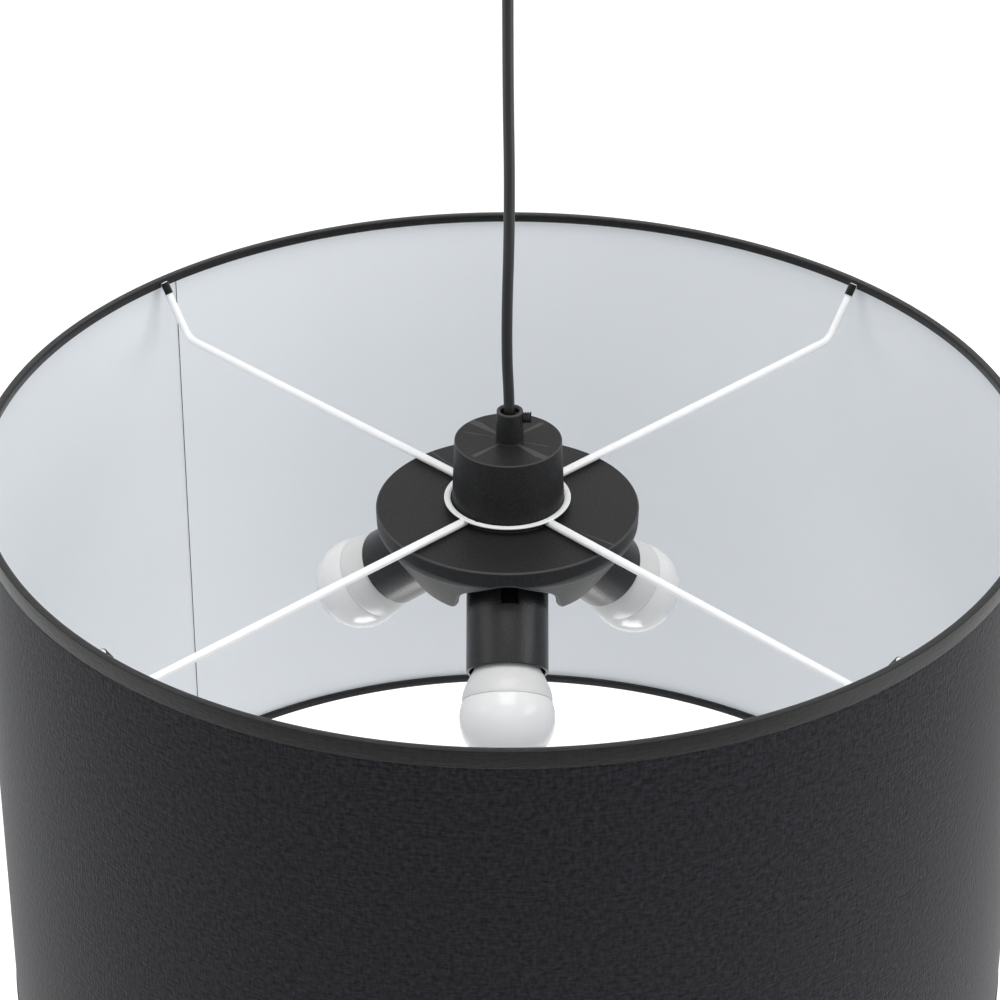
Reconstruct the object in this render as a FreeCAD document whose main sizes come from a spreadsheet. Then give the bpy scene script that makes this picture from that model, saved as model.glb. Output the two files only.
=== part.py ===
# A hanging lamp: a wide drum shade on a wire spider, a moulded hub that carries three bulbs,
# and a cord that holds all of it under a ceiling canopy.
#
# Millimetres. The origin is the middle of the ceiling plane the lamp hangs from, +Z is up, and
# -Y is the side a viewer sees. Most pieces are drawn in the hub's own frame, whose zero is the
# top face of the hub's round plate; the lampholders and bulbs are drawn along their own axes,
# with zero at the mouth of the holder.
import FreeCAD, Part
import Sketcher
import math
import os
import re

Vector = FreeCAD.Vector
doc = FreeCAD.newDocument("Pendant")

# Every size of the lamp by its name: millimetres, or degrees where the note says so
SIZES = {
    # The ceiling end
    "bracket_length": 84,  # ceiling bracket, end to end
    "bracket_width": 20,  # ceiling bracket, across
    "bracket_gauge": 1.6,  # ceiling bracket, sheet thickness
    "bracket_spacing": 62,  # between the two ceiling screw holes
    "bracket_hole_rad": 2.2,  # ceiling screw hole radius
    "block_length": 30,  # ceiling terminal block along the bracket
    "block_width": 16,  # ceiling terminal block across
    "block_height": 14,  # ceiling terminal block height
    "block_screw_rad": 2,  # its screw holes, radius
    "block_screw_depth": 3,  # its screw holes, depth
    "canopy_rim_rad": 50,  # canopy radius at the ceiling
    "canopy_foot_rad": 45,  # canopy radius at its underside
    "canopy_height": 26,  # canopy height
    "canopy_wall": 1.6,  # canopy wall
    "canopy_round": 3,  # round between the canopy's side and underside

    # The cord grips, one under the canopy and one on the hub's cup
    "grip_foot_rad": 6.55,  # cord grip radius at its foot
    "grip_end_rad": 6.2,  # cord grip radius at its end
    "grip_height": 15.9,  # cord grip height
    "grip_bore_rad": 4.45,  # cord grip bore radius
    "grip_chamfer": 0.6,  # chamfer round the bore
    "shank_rad": 5,  # threaded shank radius, nominal M10
    "shank_length": 7.5,  # shank below the foot of the grip
    "screw_rad": 2.55,  # grip's side screw radius
    "screw_height": 12,  # side screw above the foot of the grip
    "screw_proud": 3.5,  # side screw standing out of the grip
    "driver_slot": 0.8,  # slot in the side screw's end, across
    "driver_depth": 1.2,  # the same slot, depth
    "nut_flats": 14,  # nut across flats
    "nut_thick": 3.4,  # nut thickness
    "fit": 0.05,  # clearance of a push or screw fit, on the radius
    "past": 1,  # how far a cutting shape runs past what it cuts

    # The cord
    "cord_rad": 2.575,  # cord radius
    "drop": 304.8,  # from the ceiling to the top of the hub's plate

    # The hub: cup, plate with its skirt, stud
    "hub_shift": 1.1,  # the cord's axis off the hub's middle
    "cup_foot_rad": 26.8,  # cup radius on the plate
    "cup_top_rad": 25.4,  # cup radius at its top
    "cup_height": 35.4,  # cup height
    "cup_wall": 1.6,  # cup wall
    "cup_lid": 2,  # cup top thickness
    "cup_round": 0.8,  # round of the cup's top edge
    "pillar_rad": 3.5,  # screw pillar in the cup
    "pillar_out": 18,  # pillar off the middle
    "tapping_rad": 1.5,  # self-tapping screw radius
    "tapping_head_rad": 2.75,  # self-tapping screw head radius
    "tapping_head": 2,  # self-tapping screw head height
    "tapping_length": 12,  # self-tapping screw under its head
    "tapping_hole_rad": 1.75,  # screw hole in the plate, radius
    "plate_rad": 62.6,  # hub plate radius
    "plate_thick": 2.2,  # hub plate thickness
    "plate_round": 2,  # round of the plate's top edge
    "spigot_height": 3,  # ring that centres the cup on the plate, height
    "spigot_wall": 1.5,  # the same ring, wall
    "spigot_gap": 0.1,  # between that ring and the cup
    "spigot_lead": 0.3,  # slope of that ring's outside
    "side_height": 9.2,  # hub's upright side under the plate's top
    "side_inset": 0.3,  # the upright side's foot inside the plate's edge
    "skirt_height": 35.7,  # from the plate's top to the skirt's lower rim
    "skirt_foot_rad": 44.3,  # skirt radius at its lower rim
    "skirt_wall": 2.3,  # skirt wall, measured level
    "shoulder_drop": 0.3,  # the skirt's inner corner under its outer one
    "arch_back": 31.8,  # the skirt's three slanting cuts, behind the holder mouths
    "arch_tilt": 42.2,  # slant of those cuts, degrees
    "opening_rad": 23.3,  # opening round each lampholder in the skirt, radius
    "opening_below": 1,  # those openings stay this far under the upright side
    "stud_bore_rad": 3.5,  # wire way through the stud
    "stud_above": 7,  # stud above the plate
    "stud_hole_rad": 5.3,  # stud hole in the plate, radius
    "inner_block_length": 16,  # terminal block in the cup, along X
    "inner_block_width": 18,  # terminal block in the cup, along Y
    "inner_block_height": 12,  # terminal block in the cup, height
    "wire_way_rad": 1.6,  # its wire ways, radius

    # The carrier under the plate, on which the three lampholders stand
    "cluster_roll": 2.52,  # the carrier's lean to the right, degrees
    "cluster_spin": 2.26,  # the carrier's turn about the upright, degrees
    "holder_tilt": 42.17,  # holder axes below the level, degrees
    "mouth_out": 61.57,  # holder mouth's middle off the hub's axis
    "mouth_down": 55.23,  # holder mouth's middle under the plate's top
    "carrier_rad": 34,  # carrier radius
    "carrier_top": 6,  # carrier's top under the plate's top
    "carrier_boss_rad": 12,  # carrier's boss under the plate
    "carrier_foot": 32,  # carrier's foot under the plate's top
    "well_rad": 11,  # wire chamber radius
    "well_top": 10,  # wire chamber's top under the plate's top
    "plug_depth": 3,  # plug's depth in the chamber
    "plug_dish": 0.8,  # hollow in the plug's underside
    "plug_rim": 1.2,  # flat rim round that hollow
    "nipple_depth": 12,  # nipple's depth in the carrier
    "way_depth": 4,  # wire way past the nipple's end

    # A lampholder, along its own axis
    "holder_rad": 19.35,  # lampholder radius
    "holder_length": 50,  # lampholder length
    "holder_wall": 1.4,  # lampholder wall
    "holder_base": 3,  # lampholder base thickness
    "holder_round": 1,  # round of the holder's back edge
    "holder_gap": 0.3,  # between a lampholder and the hub's skirt
    "window_width": 8,  # window in the holder's upper side, across
    "window_length": 8,  # window, along the holder
    "window_back": 28.7,  # window's front edge behind the mouth
    "insert_top": 12,  # insert's front behind the mouth
    "insert_floor": 37,  # insert's floor behind the mouth
    "insert_floor_thick": 5,  # insert's floor thickness
    "insert_skirt": 3,  # insert's skirt wall behind its floor
    "shell_rad": 13.5,  # screw shell, inner radius
    "shell_gauge": 0.5,  # screw shell thickness
    "shell_top": 14,  # screw shell's front behind the mouth
    "shell_foot": 34,  # screw shell's back behind the mouth
    "contact_width": 5,  # middle contact, across
    "contact_gauge": 0.5,  # middle contact, strip thickness
    "contact_foot": 8,  # middle contact's foot, one way along the floor
    "contact_fold": 6.5,  # where it folds back, the other way
    "contact_fold_height": 0.9,  # height of that fold
    "contact_tongue": 3.5,  # its tongue's end past the axis
    "contact_flat": 1.5,  # flat of the tongue's end
    "contact_gap": 0.35,  # between the tongue and the bulb's tip

    # A bulb, along the same axis
    "globe_rad": 22.5,  # bulb's globe radius
    "globe_out": 22.83,  # globe's middle beyond the mouth
    "globe_wall": 1.2,  # globe wall
    "seam_out": 15.2,  # seam of globe and housing beyond the mouth
    "housing_rad": 21.25,  # housing radius at the seam
    "housing_mouth_rad": 15.5,  # housing radius in the holder's mouth
    "housing_foot_rad": 13.7,  # housing radius at its cap
    "housing_collar": 0.5,  # how far the housing widens just in front of the cap
    "housing_collar_length": 4,  # over this length
    "housing_waist": 9,  # round of the housing in the holder's mouth
    "cap_rad": 13.2,  # bulb's screw cap radius
    "cap_top": 10,  # cap's front behind the mouth
    "cap_foot": 30.6,  # cap's straight part ends behind the mouth
    "cap_nose": 33.2,  # cap's insulated nose behind the mouth
    "cap_nose_rad": 5.5,  # that nose, radius
    "cap_chamfer": 1.4,  # corner between the cap's thread and its cone
    "tip_back": 34.67,  # tip of the cap behind the mouth
    "tip_rad": 4.5,  # tip radius
    "tip_chamfer": 0.9,  # tip's corner

    # The spider that carries the shade
    "ring_rad": 30,  # spider ring radius
    "ring_width": 2.8,  # spider ring, across the flat
    "ring_height": 3.8,  # spider ring over the plate
    "ring_gauge": 1.2,  # spider ring thickness
    "ring_round": 0.4,  # round of the ring's outer edges
    "ring_lip": 0.5,  # lip round the ring's hole, across
    "ring_lip_height": 0.6,  # the same lip, height
    "ring_slot": 1.5,  # gap in that lip
    "ring_slot_turn": -122,  # where the gap is, degrees from +X
    "arm_rad": 2,  # arm wire radius
    "arm_tuck": 2,  # arm under the ring
    "turn_front_left": 224.8,  # front left arm, degrees from +X
    "turn_front_right": 313.2,  # front right arm
    "turn_back_right": 43.85,  # back right arm
    "turn_back_left": 135.75,  # back left arm
    "arm_start_height": 2.35,  # arm's middle over the plate at the ring
    "arm_knee_in": 21.8,  # where the arm turns up, inside the shade's outside
    "arm_knee_height": 3.2,  # where the arm turns up, over the plate
    "arm_knee_rad": 9,  # round of that bend
    "arm_end_in": 3.8,  # arm's end inside the shade's outside
    "arm_end_down": 1.7,  # arm's end under the shade's upper edge
    "tab_wall": 0.5,  # tape over the arm's end, thickness
    "tab_length": 6,  # tape over the arm's end, length
    "tab_back": 0.4,  # tape over the arm, back from the arm's end
    "tab_wrap": 150,  # how far that tape goes round the wire, degrees

    # The shade
    "shade_rad": 250,  # shade radius over its edge tape
    "shade_height": 297,  # shade height
    "shade_rise": 30.8,  # shade's upper edge over the hub's plate
    "tape": 0.4,  # edge tape thickness
    "fabric": 0.6,  # outer fabric thickness
    "liner": 0.6,  # white liner thickness
    "edge_wire_rad": 1,  # edge wire radius
    "tape_outside": 8.5,  # edge tape's height outside
    "tape_inside": 4,  # edge tape's height inside
    "tape_round": 0.3,  # round of the edge tape's shoulder
    "slot_gap": 0.3,  # between an arm's tape and the slot in the edge tape
    "overlap": 0.5,  # thickness of the liner's overlap
    "overlap_turn": 129,  # where the overlap starts, degrees from +X
    "overlap_spread": 4.5,  # how far it goes round, degrees
    "overlap_end": 0.6,  # overlap's ends short of the edge tape
}

sizes = doc.addObject("Spreadsheet::Sheet", "Sizes")
for row, (name, value) in enumerate(SIZES.items(), 1):
    sizes.set("A%d" % row, name)
    sizes.set("B%d" % row, str(value))
    sizes.setAlias("B%d" % row, name)
doc.recompute()


def bound(text):
    """An expression over the sheet, from one written with the bare names."""
    return re.sub(r"[A-Za-z_]\w*", lambda m: "Sizes." + m[0] if m[0] in SIZES else m[0], str(text))


def number(text):
    """What such an expression comes to."""
    return float(sizes.evalExpression(bound(text)))


def bind(thing, **values):
    """Tie properties to expressions; a double underscore stands for a dot."""
    for name, text in values.items():
        thing.setExpression(name.replace("__", "."), bound(text))


def spin(axis, angle):
    return "placement(vector(0; 0; 0); rotation(vector(%s); %s))" % (axis, angle)


def shift(x, y, z):
    return "placement(vector(%s; %s; %s); rotation(vector(0; 0; 1); 0))" % (x, y, z)


def up(frame, height):
    """A frame moved along its own Z."""
    return frame + " * " + shift(0, 0, height)


CEILING = shift(0, 0, 0)
HUB = shift(0, 0, "-drop")
CORD_AXIS = HUB + " * " + shift("hub_shift", 0, 0)
HOLDERS = {"front": -90, "left": 150, "right": 30}
ARMS = {"arm_front_left": "turn_front_left", "arm_front_right": "turn_front_right",
        "arm_back_right": "turn_back_right", "arm_back_left": "turn_back_left"}


def holder_frame(turn):
    """A lampholder's own frame: Z out along its axis, zero at the mouth, -X its upper side."""
    lean = spin("0; 1; 0", "cluster_roll")
    turned = spin("0; 0; 1", "cluster_spin + %d" % turn)
    mouth = "placement(vector(mouth_out; 0; -mouth_down); rotation(vector(0; 1; 0); 90 + holder_tilt))"
    return " * ".join([HUB, lean, turned, mouth])


def body(name):
    piece = doc.addObject("PartDesign::Body", name)
    piece.Label = name
    return piece


def plane_of(piece, role):
    return [one for one in piece.Origin.OriginFeatures if one.Role == role][0]


def sketch_on(piece, role, name, offset="0"):
    """A sketch on one of the piece's own planes, moved off it along its normal."""
    drawing = piece.newObject("Sketcher::SketchObject", name)
    drawing.AttachmentSupport = [(plane_of(piece, role), "")]
    drawing.MapMode = "FlatFace"
    bind(drawing, AttachmentOffset__Base__z=offset)
    return drawing


def locate(drawing, edge, point, x, y):
    """Tie one point of a drawing to the sheet."""
    for kind, text in (("DistanceX", x), ("DistanceY", y)):
        index = drawing.addConstraint(Sketcher.Constraint(kind, -1, 1, edge, point, number(text)))
        drawing.setExpression("Constraints[%d]" % index, bound(text))


def outline(drawing, points):
    """A closed outline whose corners are all tied to the sheet."""
    spots = [Vector(number(x), number(y), 0) for x, y in points]
    count = len(points)
    for i in range(count):
        drawing.addGeometry(Part.LineSegment(spots[i], spots[(i + 1) % count]), False)
    for i in range(count):
        drawing.addConstraint(Sketcher.Constraint("Coincident", i, 2, (i + 1) % count, 1))
    for i, (x, y) in enumerate(points):
        locate(drawing, i, 1, x, y)


def rectangle(drawing, length, width):
    """A rectangle about the drawing's own zero."""
    right = length + " / 2"
    back = width + " / 2"
    outline(drawing, [("-" + right, "-" + back), (right, "-" + back), (right, back), ("-" + right, back)])


def circle(drawing, x, y, radius):
    middle = Vector(number(x), number(y), 0)
    edge = drawing.addGeometry(Part.Circle(middle, Vector(0, 0, 1), number(radius)))
    locate(drawing, edge, 3, x, y)
    index = drawing.addConstraint(Sketcher.Constraint("Radius", edge, number(radius)))
    drawing.setExpression("Constraints[%d]" % index, bound(radius))


def turned(name, points, frame):
    """A turned piece: an outline of radius and height, spun about the piece's own Z."""
    piece = body(name)
    drawing = sketch_on(piece, "XZ_Plane", name + "_outline")
    outline(drawing, points)
    lathe = piece.newObject("PartDesign::Revolution", name + "_turned")
    lathe.Profile = drawing
    lathe.ReferenceAxis = (drawing, ["V_Axis"])
    lathe.Angle = 360
    bind(piece, Placement=frame)
    doc.recompute()
    return piece


def pad(piece, name, role, offset, draw, length, up=True):
    """Material added from a level, up or down."""
    drawing = sketch_on(piece, role, name + "_outline", offset)
    draw(drawing)
    feature = piece.newObject("PartDesign::Pad", name)
    feature.Profile = drawing
    feature.Reversed = not up
    bind(feature, Length=length)
    doc.recompute()
    return feature


def pocket(piece, name, role, offset, draw, length, against=True, both=False):
    """Material taken away from a level, against the plane's normal unless told otherwise."""
    drawing = sketch_on(piece, role, name + "_outline", offset)
    draw(drawing)
    feature = piece.newObject("PartDesign::Pocket", name)
    feature.Profile = drawing
    feature.Reversed = not against
    feature.Midplane = both
    bind(feature, Length=length)
    doc.recompute()
    return feature


def round_edges(piece, name, radius, spots):
    """Round the circular edges of the given radius and height."""
    wanted = [(number(r), number(z)) for r, z in spots]
    base = piece.Tip
    shape = base.Shape
    names = []
    for i, edge in enumerate(shape.Edges):
        if not isinstance(edge.Curve, Part.Circle):
            continue
        for r, z in wanted:
            if abs(edge.Curve.Radius - r) < 0.01 and abs(edge.Curve.Center.z - z) < 0.01:
                names.append("Edge%d" % (i + 1))
    feature = piece.newObject("PartDesign::Fillet", name)
    feature.Base = (base, names)
    bind(feature, Radius=radius)
    doc.recompute()
    return feature


def solid(kind, name, frame, **values):
    """A plain solid with its sizes and its place tied to the sheet."""
    piece = doc.addObject("Part::" + kind, name)
    bind(piece, Placement=frame, **values)
    return piece


def cylinder(name, frame, radius, height):
    return solid("Cylinder", name, frame, Radius=radius, Height=height)


def box(name, frame, length, width, height):
    return solid("Box", name, frame, Length=length, Width=width, Height=height)


def joined(name, pieces):
    whole = doc.addObject("Part::MultiFuse", name)
    whole.Shapes = pieces
    whole.Label = name
    return whole


def grouped(name, pieces):
    whole = doc.addObject("Part::Compound", name)
    whole.Links = pieces
    whole.Label = name
    return whole


def less(name, base, tool):
    whole = doc.addObject("Part::Cut", name)
    whole.Base = base
    whole.Tool = tool
    whole.Label = name
    return whole


def nut(name, frame):
    """A plain hexagon nut standing on its frame's zero."""
    blank = doc.addObject("Part::Prism", name + "_blank")
    blank.Polygon = 6
    bind(blank, Placement=frame, Circumradius="nut_flats / 2 / cos(30)", Height="nut_thick")
    hole = cylinder(name + "_hole", up(frame, "-past"), "shank_rad + fit",
                    "nut_thick + 2 * past")
    return less(name, blank, hole)


def grip(name, frame):
    """A cord grip standing on its foot, with its threaded shank below and a tapped side hole."""
    piece = turned(name, [
        ("grip_bore_rad", "-shank_length"),
        ("shank_rad", "-shank_length"),
        ("shank_rad", "0"),
        ("grip_foot_rad", "0"),
        ("grip_end_rad", "grip_height"),
        ("grip_bore_rad + grip_chamfer", "grip_height"),
        ("grip_bore_rad", "grip_height - grip_chamfer"),
    ], frame)
    pocket(piece, name + "_tapping", "YZ_Plane", "0",
           lambda d: circle(d, "0", "screw_height", "screw_rad + fit"), "grip_foot_rad * 2",
           against=False)
    return piece


def grip_screw(name, frame):
    """The screw that pinches the cord: a plain threaded pin along +X with a slot in its end."""
    piece = body(name)
    pad(piece, name + "_pin", "YZ_Plane", "cord_rad + fit",
        lambda d: circle(d, "0", "screw_height", "screw_rad"),
        "grip_end_rad + screw_proud - cord_rad - fit")
    pocket(piece, name + "_slot", "YZ_Plane", "grip_end_rad + screw_proud",
           lambda d: outline(d, [("-screw_rad - past", "screw_height - driver_slot / 2"),
                                 ("screw_rad + past", "screw_height - driver_slot / 2"),
                                 ("screw_rad + past", "screw_height + driver_slot / 2"),
                                 ("-screw_rad - past", "screw_height + driver_slot / 2")]),
           "driver_depth")
    bind(piece, Placement=frame)
    return piece


# The ceiling bracket, a flat strip with two screw holes, and the block that takes the cord's end
bracket = body("ceiling_bracket")
pad(bracket, "bracket_strip", "XY_Plane", "0",
    lambda d: rectangle(d, "bracket_length", "bracket_width"),
    "bracket_gauge", up=False)
for side in ("-", ""):
    pocket(bracket, "bracket_hole" + ("_left" if side else "_right"), "XY_Plane", "0",
           lambda d: circle(d, side + "bracket_spacing / 2", "0", "bracket_hole_rad"), "bracket_gauge")
bind(bracket, Placement=CEILING)

block = body("ceiling_terminal_block")
pad(block, "block_case", "XY_Plane", "-bracket_gauge",
    lambda d: rectangle(d, "block_length", "block_width"),
    "block_height", up=False)
for side in ("-", ""):
    pocket(block, "block_screw" + ("_left" if side else "_right"), "XZ_Plane", "block_width / 2",
           lambda d: circle(d, side + "block_length / 4", "-bracket_gauge - block_height / 2",
                            "block_screw_rad"), "block_screw_depth")
bind(block, Placement=CEILING)

canopy = turned("canopy", [
    ("shank_rad + fit", "-canopy_height"),
    ("canopy_foot_rad", "-canopy_height"),
    ("canopy_rim_rad", "0"),
    ("canopy_rim_rad - canopy_wall", "0"),
    ("canopy_foot_rad - canopy_wall", "canopy_wall - canopy_height"),
    ("shank_rad + fit", "canopy_wall - canopy_height"),
], CEILING)
round_edges(canopy, "canopy_shoulder", "canopy_round", [("canopy_foot_rad", "-canopy_height")])

UNDER_CANOPY = shift(0, 0, "-canopy_height") + " * " + spin("0; 1; 0", 180)
grip("canopy_grip", UNDER_CANOPY)
grip_screw("canopy_grip_screw", UNDER_CANOPY)
nut("canopy_nut", shift(0, 0, "canopy_wall - canopy_height"))

# The hub's own grip, on top of the cup
ON_CUP = up(CORD_AXIS, "cup_height")
grip("hub_grip", ON_CUP)
grip_screw("hub_grip_screw", ON_CUP)
nut("hub_nut", up(CORD_AXIS, "cup_height - cup_lid - nut_thick"))

cup = turned("hub_cup", [
    ("cup_foot_rad - cup_wall", "0"),
    ("cup_foot_rad", "0"),
    ("cup_top_rad", "cup_height"),
    ("0", "cup_height"),
    ("0", "cup_height - cup_lid"),
    ("cup_top_rad - cup_wall", "cup_height - cup_lid"),
], HUB)
for side in ("-", ""):
    end = "_front" if side else "_back"
    pad(cup, "cup_pillar" + end, "XY_Plane", "0",
        lambda d: circle(d, "0", side + "pillar_out", "pillar_rad"), "cup_height - cup_lid / 2")
    pocket(cup, "cup_pilot" + end, "XY_Plane", "0",
           lambda d: circle(d, "0", side + "pillar_out", "tapping_rad + fit"), "tapping_length + past",
           against=False)
pocket(cup, "cup_shank_hole", "XY_Plane", "cup_height",
       lambda d: circle(d, "hub_shift", "0", "shank_rad + fit"), "cup_lid")
round_edges(cup, "cup_shoulder", "cup_round", [("cup_top_rad", "cup_height")])

# The hub's plate, upright side and skirt are one moulding; three slanting cuts and three round
# openings about the lampholders leave the skirt three legs
hub = turned("hub_moulding", [
    ("stud_hole_rad", "0"),
    ("cup_foot_rad - cup_wall - spigot_gap - spigot_wall", "0"),
    ("cup_foot_rad - cup_wall - spigot_gap - spigot_wall", "spigot_height"),
    ("cup_foot_rad - cup_wall - spigot_gap - spigot_lead", "spigot_height"),
    ("cup_foot_rad - cup_wall - spigot_gap", "0"),
    ("plate_rad", "0"),
    ("plate_rad - side_inset", "-side_height"),
    ("skirt_foot_rad", "-skirt_height"),
    ("skirt_foot_rad - skirt_wall", "-skirt_height"),
    ("plate_rad - side_inset - skirt_wall", "-side_height - shoulder_drop"),
    ("plate_rad - skirt_wall", "-plate_thick"),
    ("stud_hole_rad", "-plate_thick"),
], HUB)
round_edges(hub, "plate_edge", "plate_round", [("plate_rad", "0")])
for side in ("-", ""):
    pocket(hub, "plate_screw_hole" + ("_front" if side else "_back"), "XY_Plane", "0",
           lambda d: circle(d, "0", side + "pillar_out", "tapping_hole_rad"), "plate_thick")
ARCH_TOP = "plate_rad * 1.05"


def arch_height(out):
    """How high the slanting cut lies at a distance from the hub's axis."""
    along = "(%s - mouth_out + arch_back * cos(arch_tilt)) / tan(arch_tilt)" % out
    return along + " + arch_back * sin(arch_tilt) - mouth_down"


arch = pocket(hub, "arch", "XZ_Plane", "0",
              lambda d: outline(d, [("0", arch_height("0")),
                                    (ARCH_TOP, arch_height(ARCH_TOP)),
                                    ("plate_rad * 2", arch_height(ARCH_TOP)),
                                    ("plate_rad * 2", arch_height("0"))]),
              "plate_rad * 4", both=True)
arches = hub.newObject("PartDesign::PolarPattern", "arches")
arches.Originals = [arch]
arches.Axis = (plane_of(hub, "Z_Axis"), [""])
arches.Angle = 360
arches.Occurrences = 3
hub.Tip = arches
bind(hub, Placement=HUB + " * " + spin("0; 0; 1", 30))
doc.recompute()

for old in ("plate_screw_hole_front", "plate_screw_hole_back"):
    bind(doc.getObject(old).Profile[0], AttachmentOffset__Rotation__Angle="-30")
reliefs = [cylinder("relief_" + name, up(holder_frame(turn), "-holder_length"),
                    "holder_rad + holder_gap", "holder_length") for name, turn in HOLDERS.items()]
openings = [cylinder("opening_" + name, up(holder_frame(turn), "-holder_length"),
                     "opening_rad", "holder_length") for name, turn in HOLDERS.items()]
upright = cylinder("opening_limit", up(HUB, "-side_height - opening_below"), "plate_rad * 2",
                   "plate_rad * 2")
low_openings = less("low_openings", joined("openings", openings), upright)
less("hub_body", hub, joined("reliefs", reliefs + [low_openings]))

stud_outer = cylinder("stud_outer", up(HUB, "-well_top"), "shank_rad", "well_top + stud_above")
stud_inner = cylinder("stud_inner", up(HUB, "-well_top - past"), "stud_bore_rad",
                      "well_top + stud_above + 2 * past")
less("hub_stud", stud_outer, stud_inner)
nut("stud_nut", HUB)

screws = []
for side in ("-", ""):
    end = "front" if side else "back"
    spot = HUB + " * " + shift(0, side + "pillar_out", "-plate_thick")
    head = cylinder("screw_head_" + end, up(spot, "-tapping_head"), "tapping_head_rad",
                    "tapping_head")
    shaft = cylinder("screw_shaft_" + end, spot, "tapping_rad", "tapping_length")
    screws.append(joined("cup_screw_" + end, [head, shaft]))
grouped("cup_screws", screws)

corner = shift("-inner_block_length / 2", "-inner_block_width / 2", "stud_above")
inner = box("inner_case", HUB + " * " + corner, "inner_block_length", "inner_block_width",
            "inner_block_height")
ways = []
for i, across in enumerate(("-inner_block_width / 4", "inner_block_width / 4")):
    way = HUB + " * " + shift("-inner_block_length", across, "stud_above + inner_block_height / 2")
    ways.append(cylinder("inner_way_%d" % i, way + " * " + spin("0; 1; 0", 90), "wire_way_rad",
                         "inner_block_length * 2"))
less("cup_terminal_block", inner, joined("inner_ways", ways))

# The carrier: a round block with a flat seat for each lampholder and one wire chamber for all three
drum = cylinder("carrier_drum", up(HUB, "-carrier_foot"), "carrier_rad",
                "carrier_foot - carrier_top")
boss = cylinder("carrier_boss", up(HUB, "-carrier_top"), "carrier_boss_rad",
                "carrier_top - plate_thick")
tools = [
    cylinder("carrier_well", up(HUB, "-carrier_foot - past"), "well_rad",
             "carrier_foot + past - well_top"),
    cylinder("carrier_bore", up(HUB, "-well_top - past"), "shank_rad + fit",
             "well_top + 2 * past"),
]
for name, turn in HOLDERS.items():
    axis = holder_frame(turn)
    corner = shift("-carrier_rad * 2", "-carrier_rad * 2", "-holder_length")
    tools.append(box("carrier_seat_" + name, axis + " * " + corner, "carrier_rad * 4", "carrier_rad * 4",
                     "carrier_rad * 3"))
    tools.append(cylinder("carrier_thread_" + name, up(axis, "-holder_length - nipple_depth"),
                          "shank_rad + fit", "nipple_depth + past"))
    tools.append(cylinder("carrier_way_" + name,
                          up(axis, "-holder_length - nipple_depth - way_depth"),
                          "stud_bore_rad", "way_depth + past"))
less("holder_carrier", joined("carrier_blank", [drum, boss]), joined("carrier_tools", tools))

turned("carrier_plug", [
    ("0", "plug_dish - carrier_foot"),
    ("well_rad - fit - plug_rim - plug_dish", "plug_dish - carrier_foot"),
    ("well_rad - fit - plug_rim", "-carrier_foot"),
    ("well_rad - fit", "-carrier_foot"),
    ("well_rad - fit", "plug_depth - carrier_foot"),
    ("0", "plug_depth - carrier_foot"),
], HUB)

nipples = []
for name, turn in HOLDERS.items():
    axis = holder_frame(turn)
    pipe = cylinder("nipple_pipe_" + name, up(axis, "-holder_length - nipple_depth"), "shank_rad",
                    "nipple_depth + holder_base")
    way = cylinder("nipple_way_" + name, up(axis, "-holder_length - nipple_depth - past"),
                   "stud_bore_rad", "nipple_depth + holder_base + 2 * past")
    nipples.append(less("nipple_" + name, pipe, way))
grouped("holder_nipples", nipples)

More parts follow.
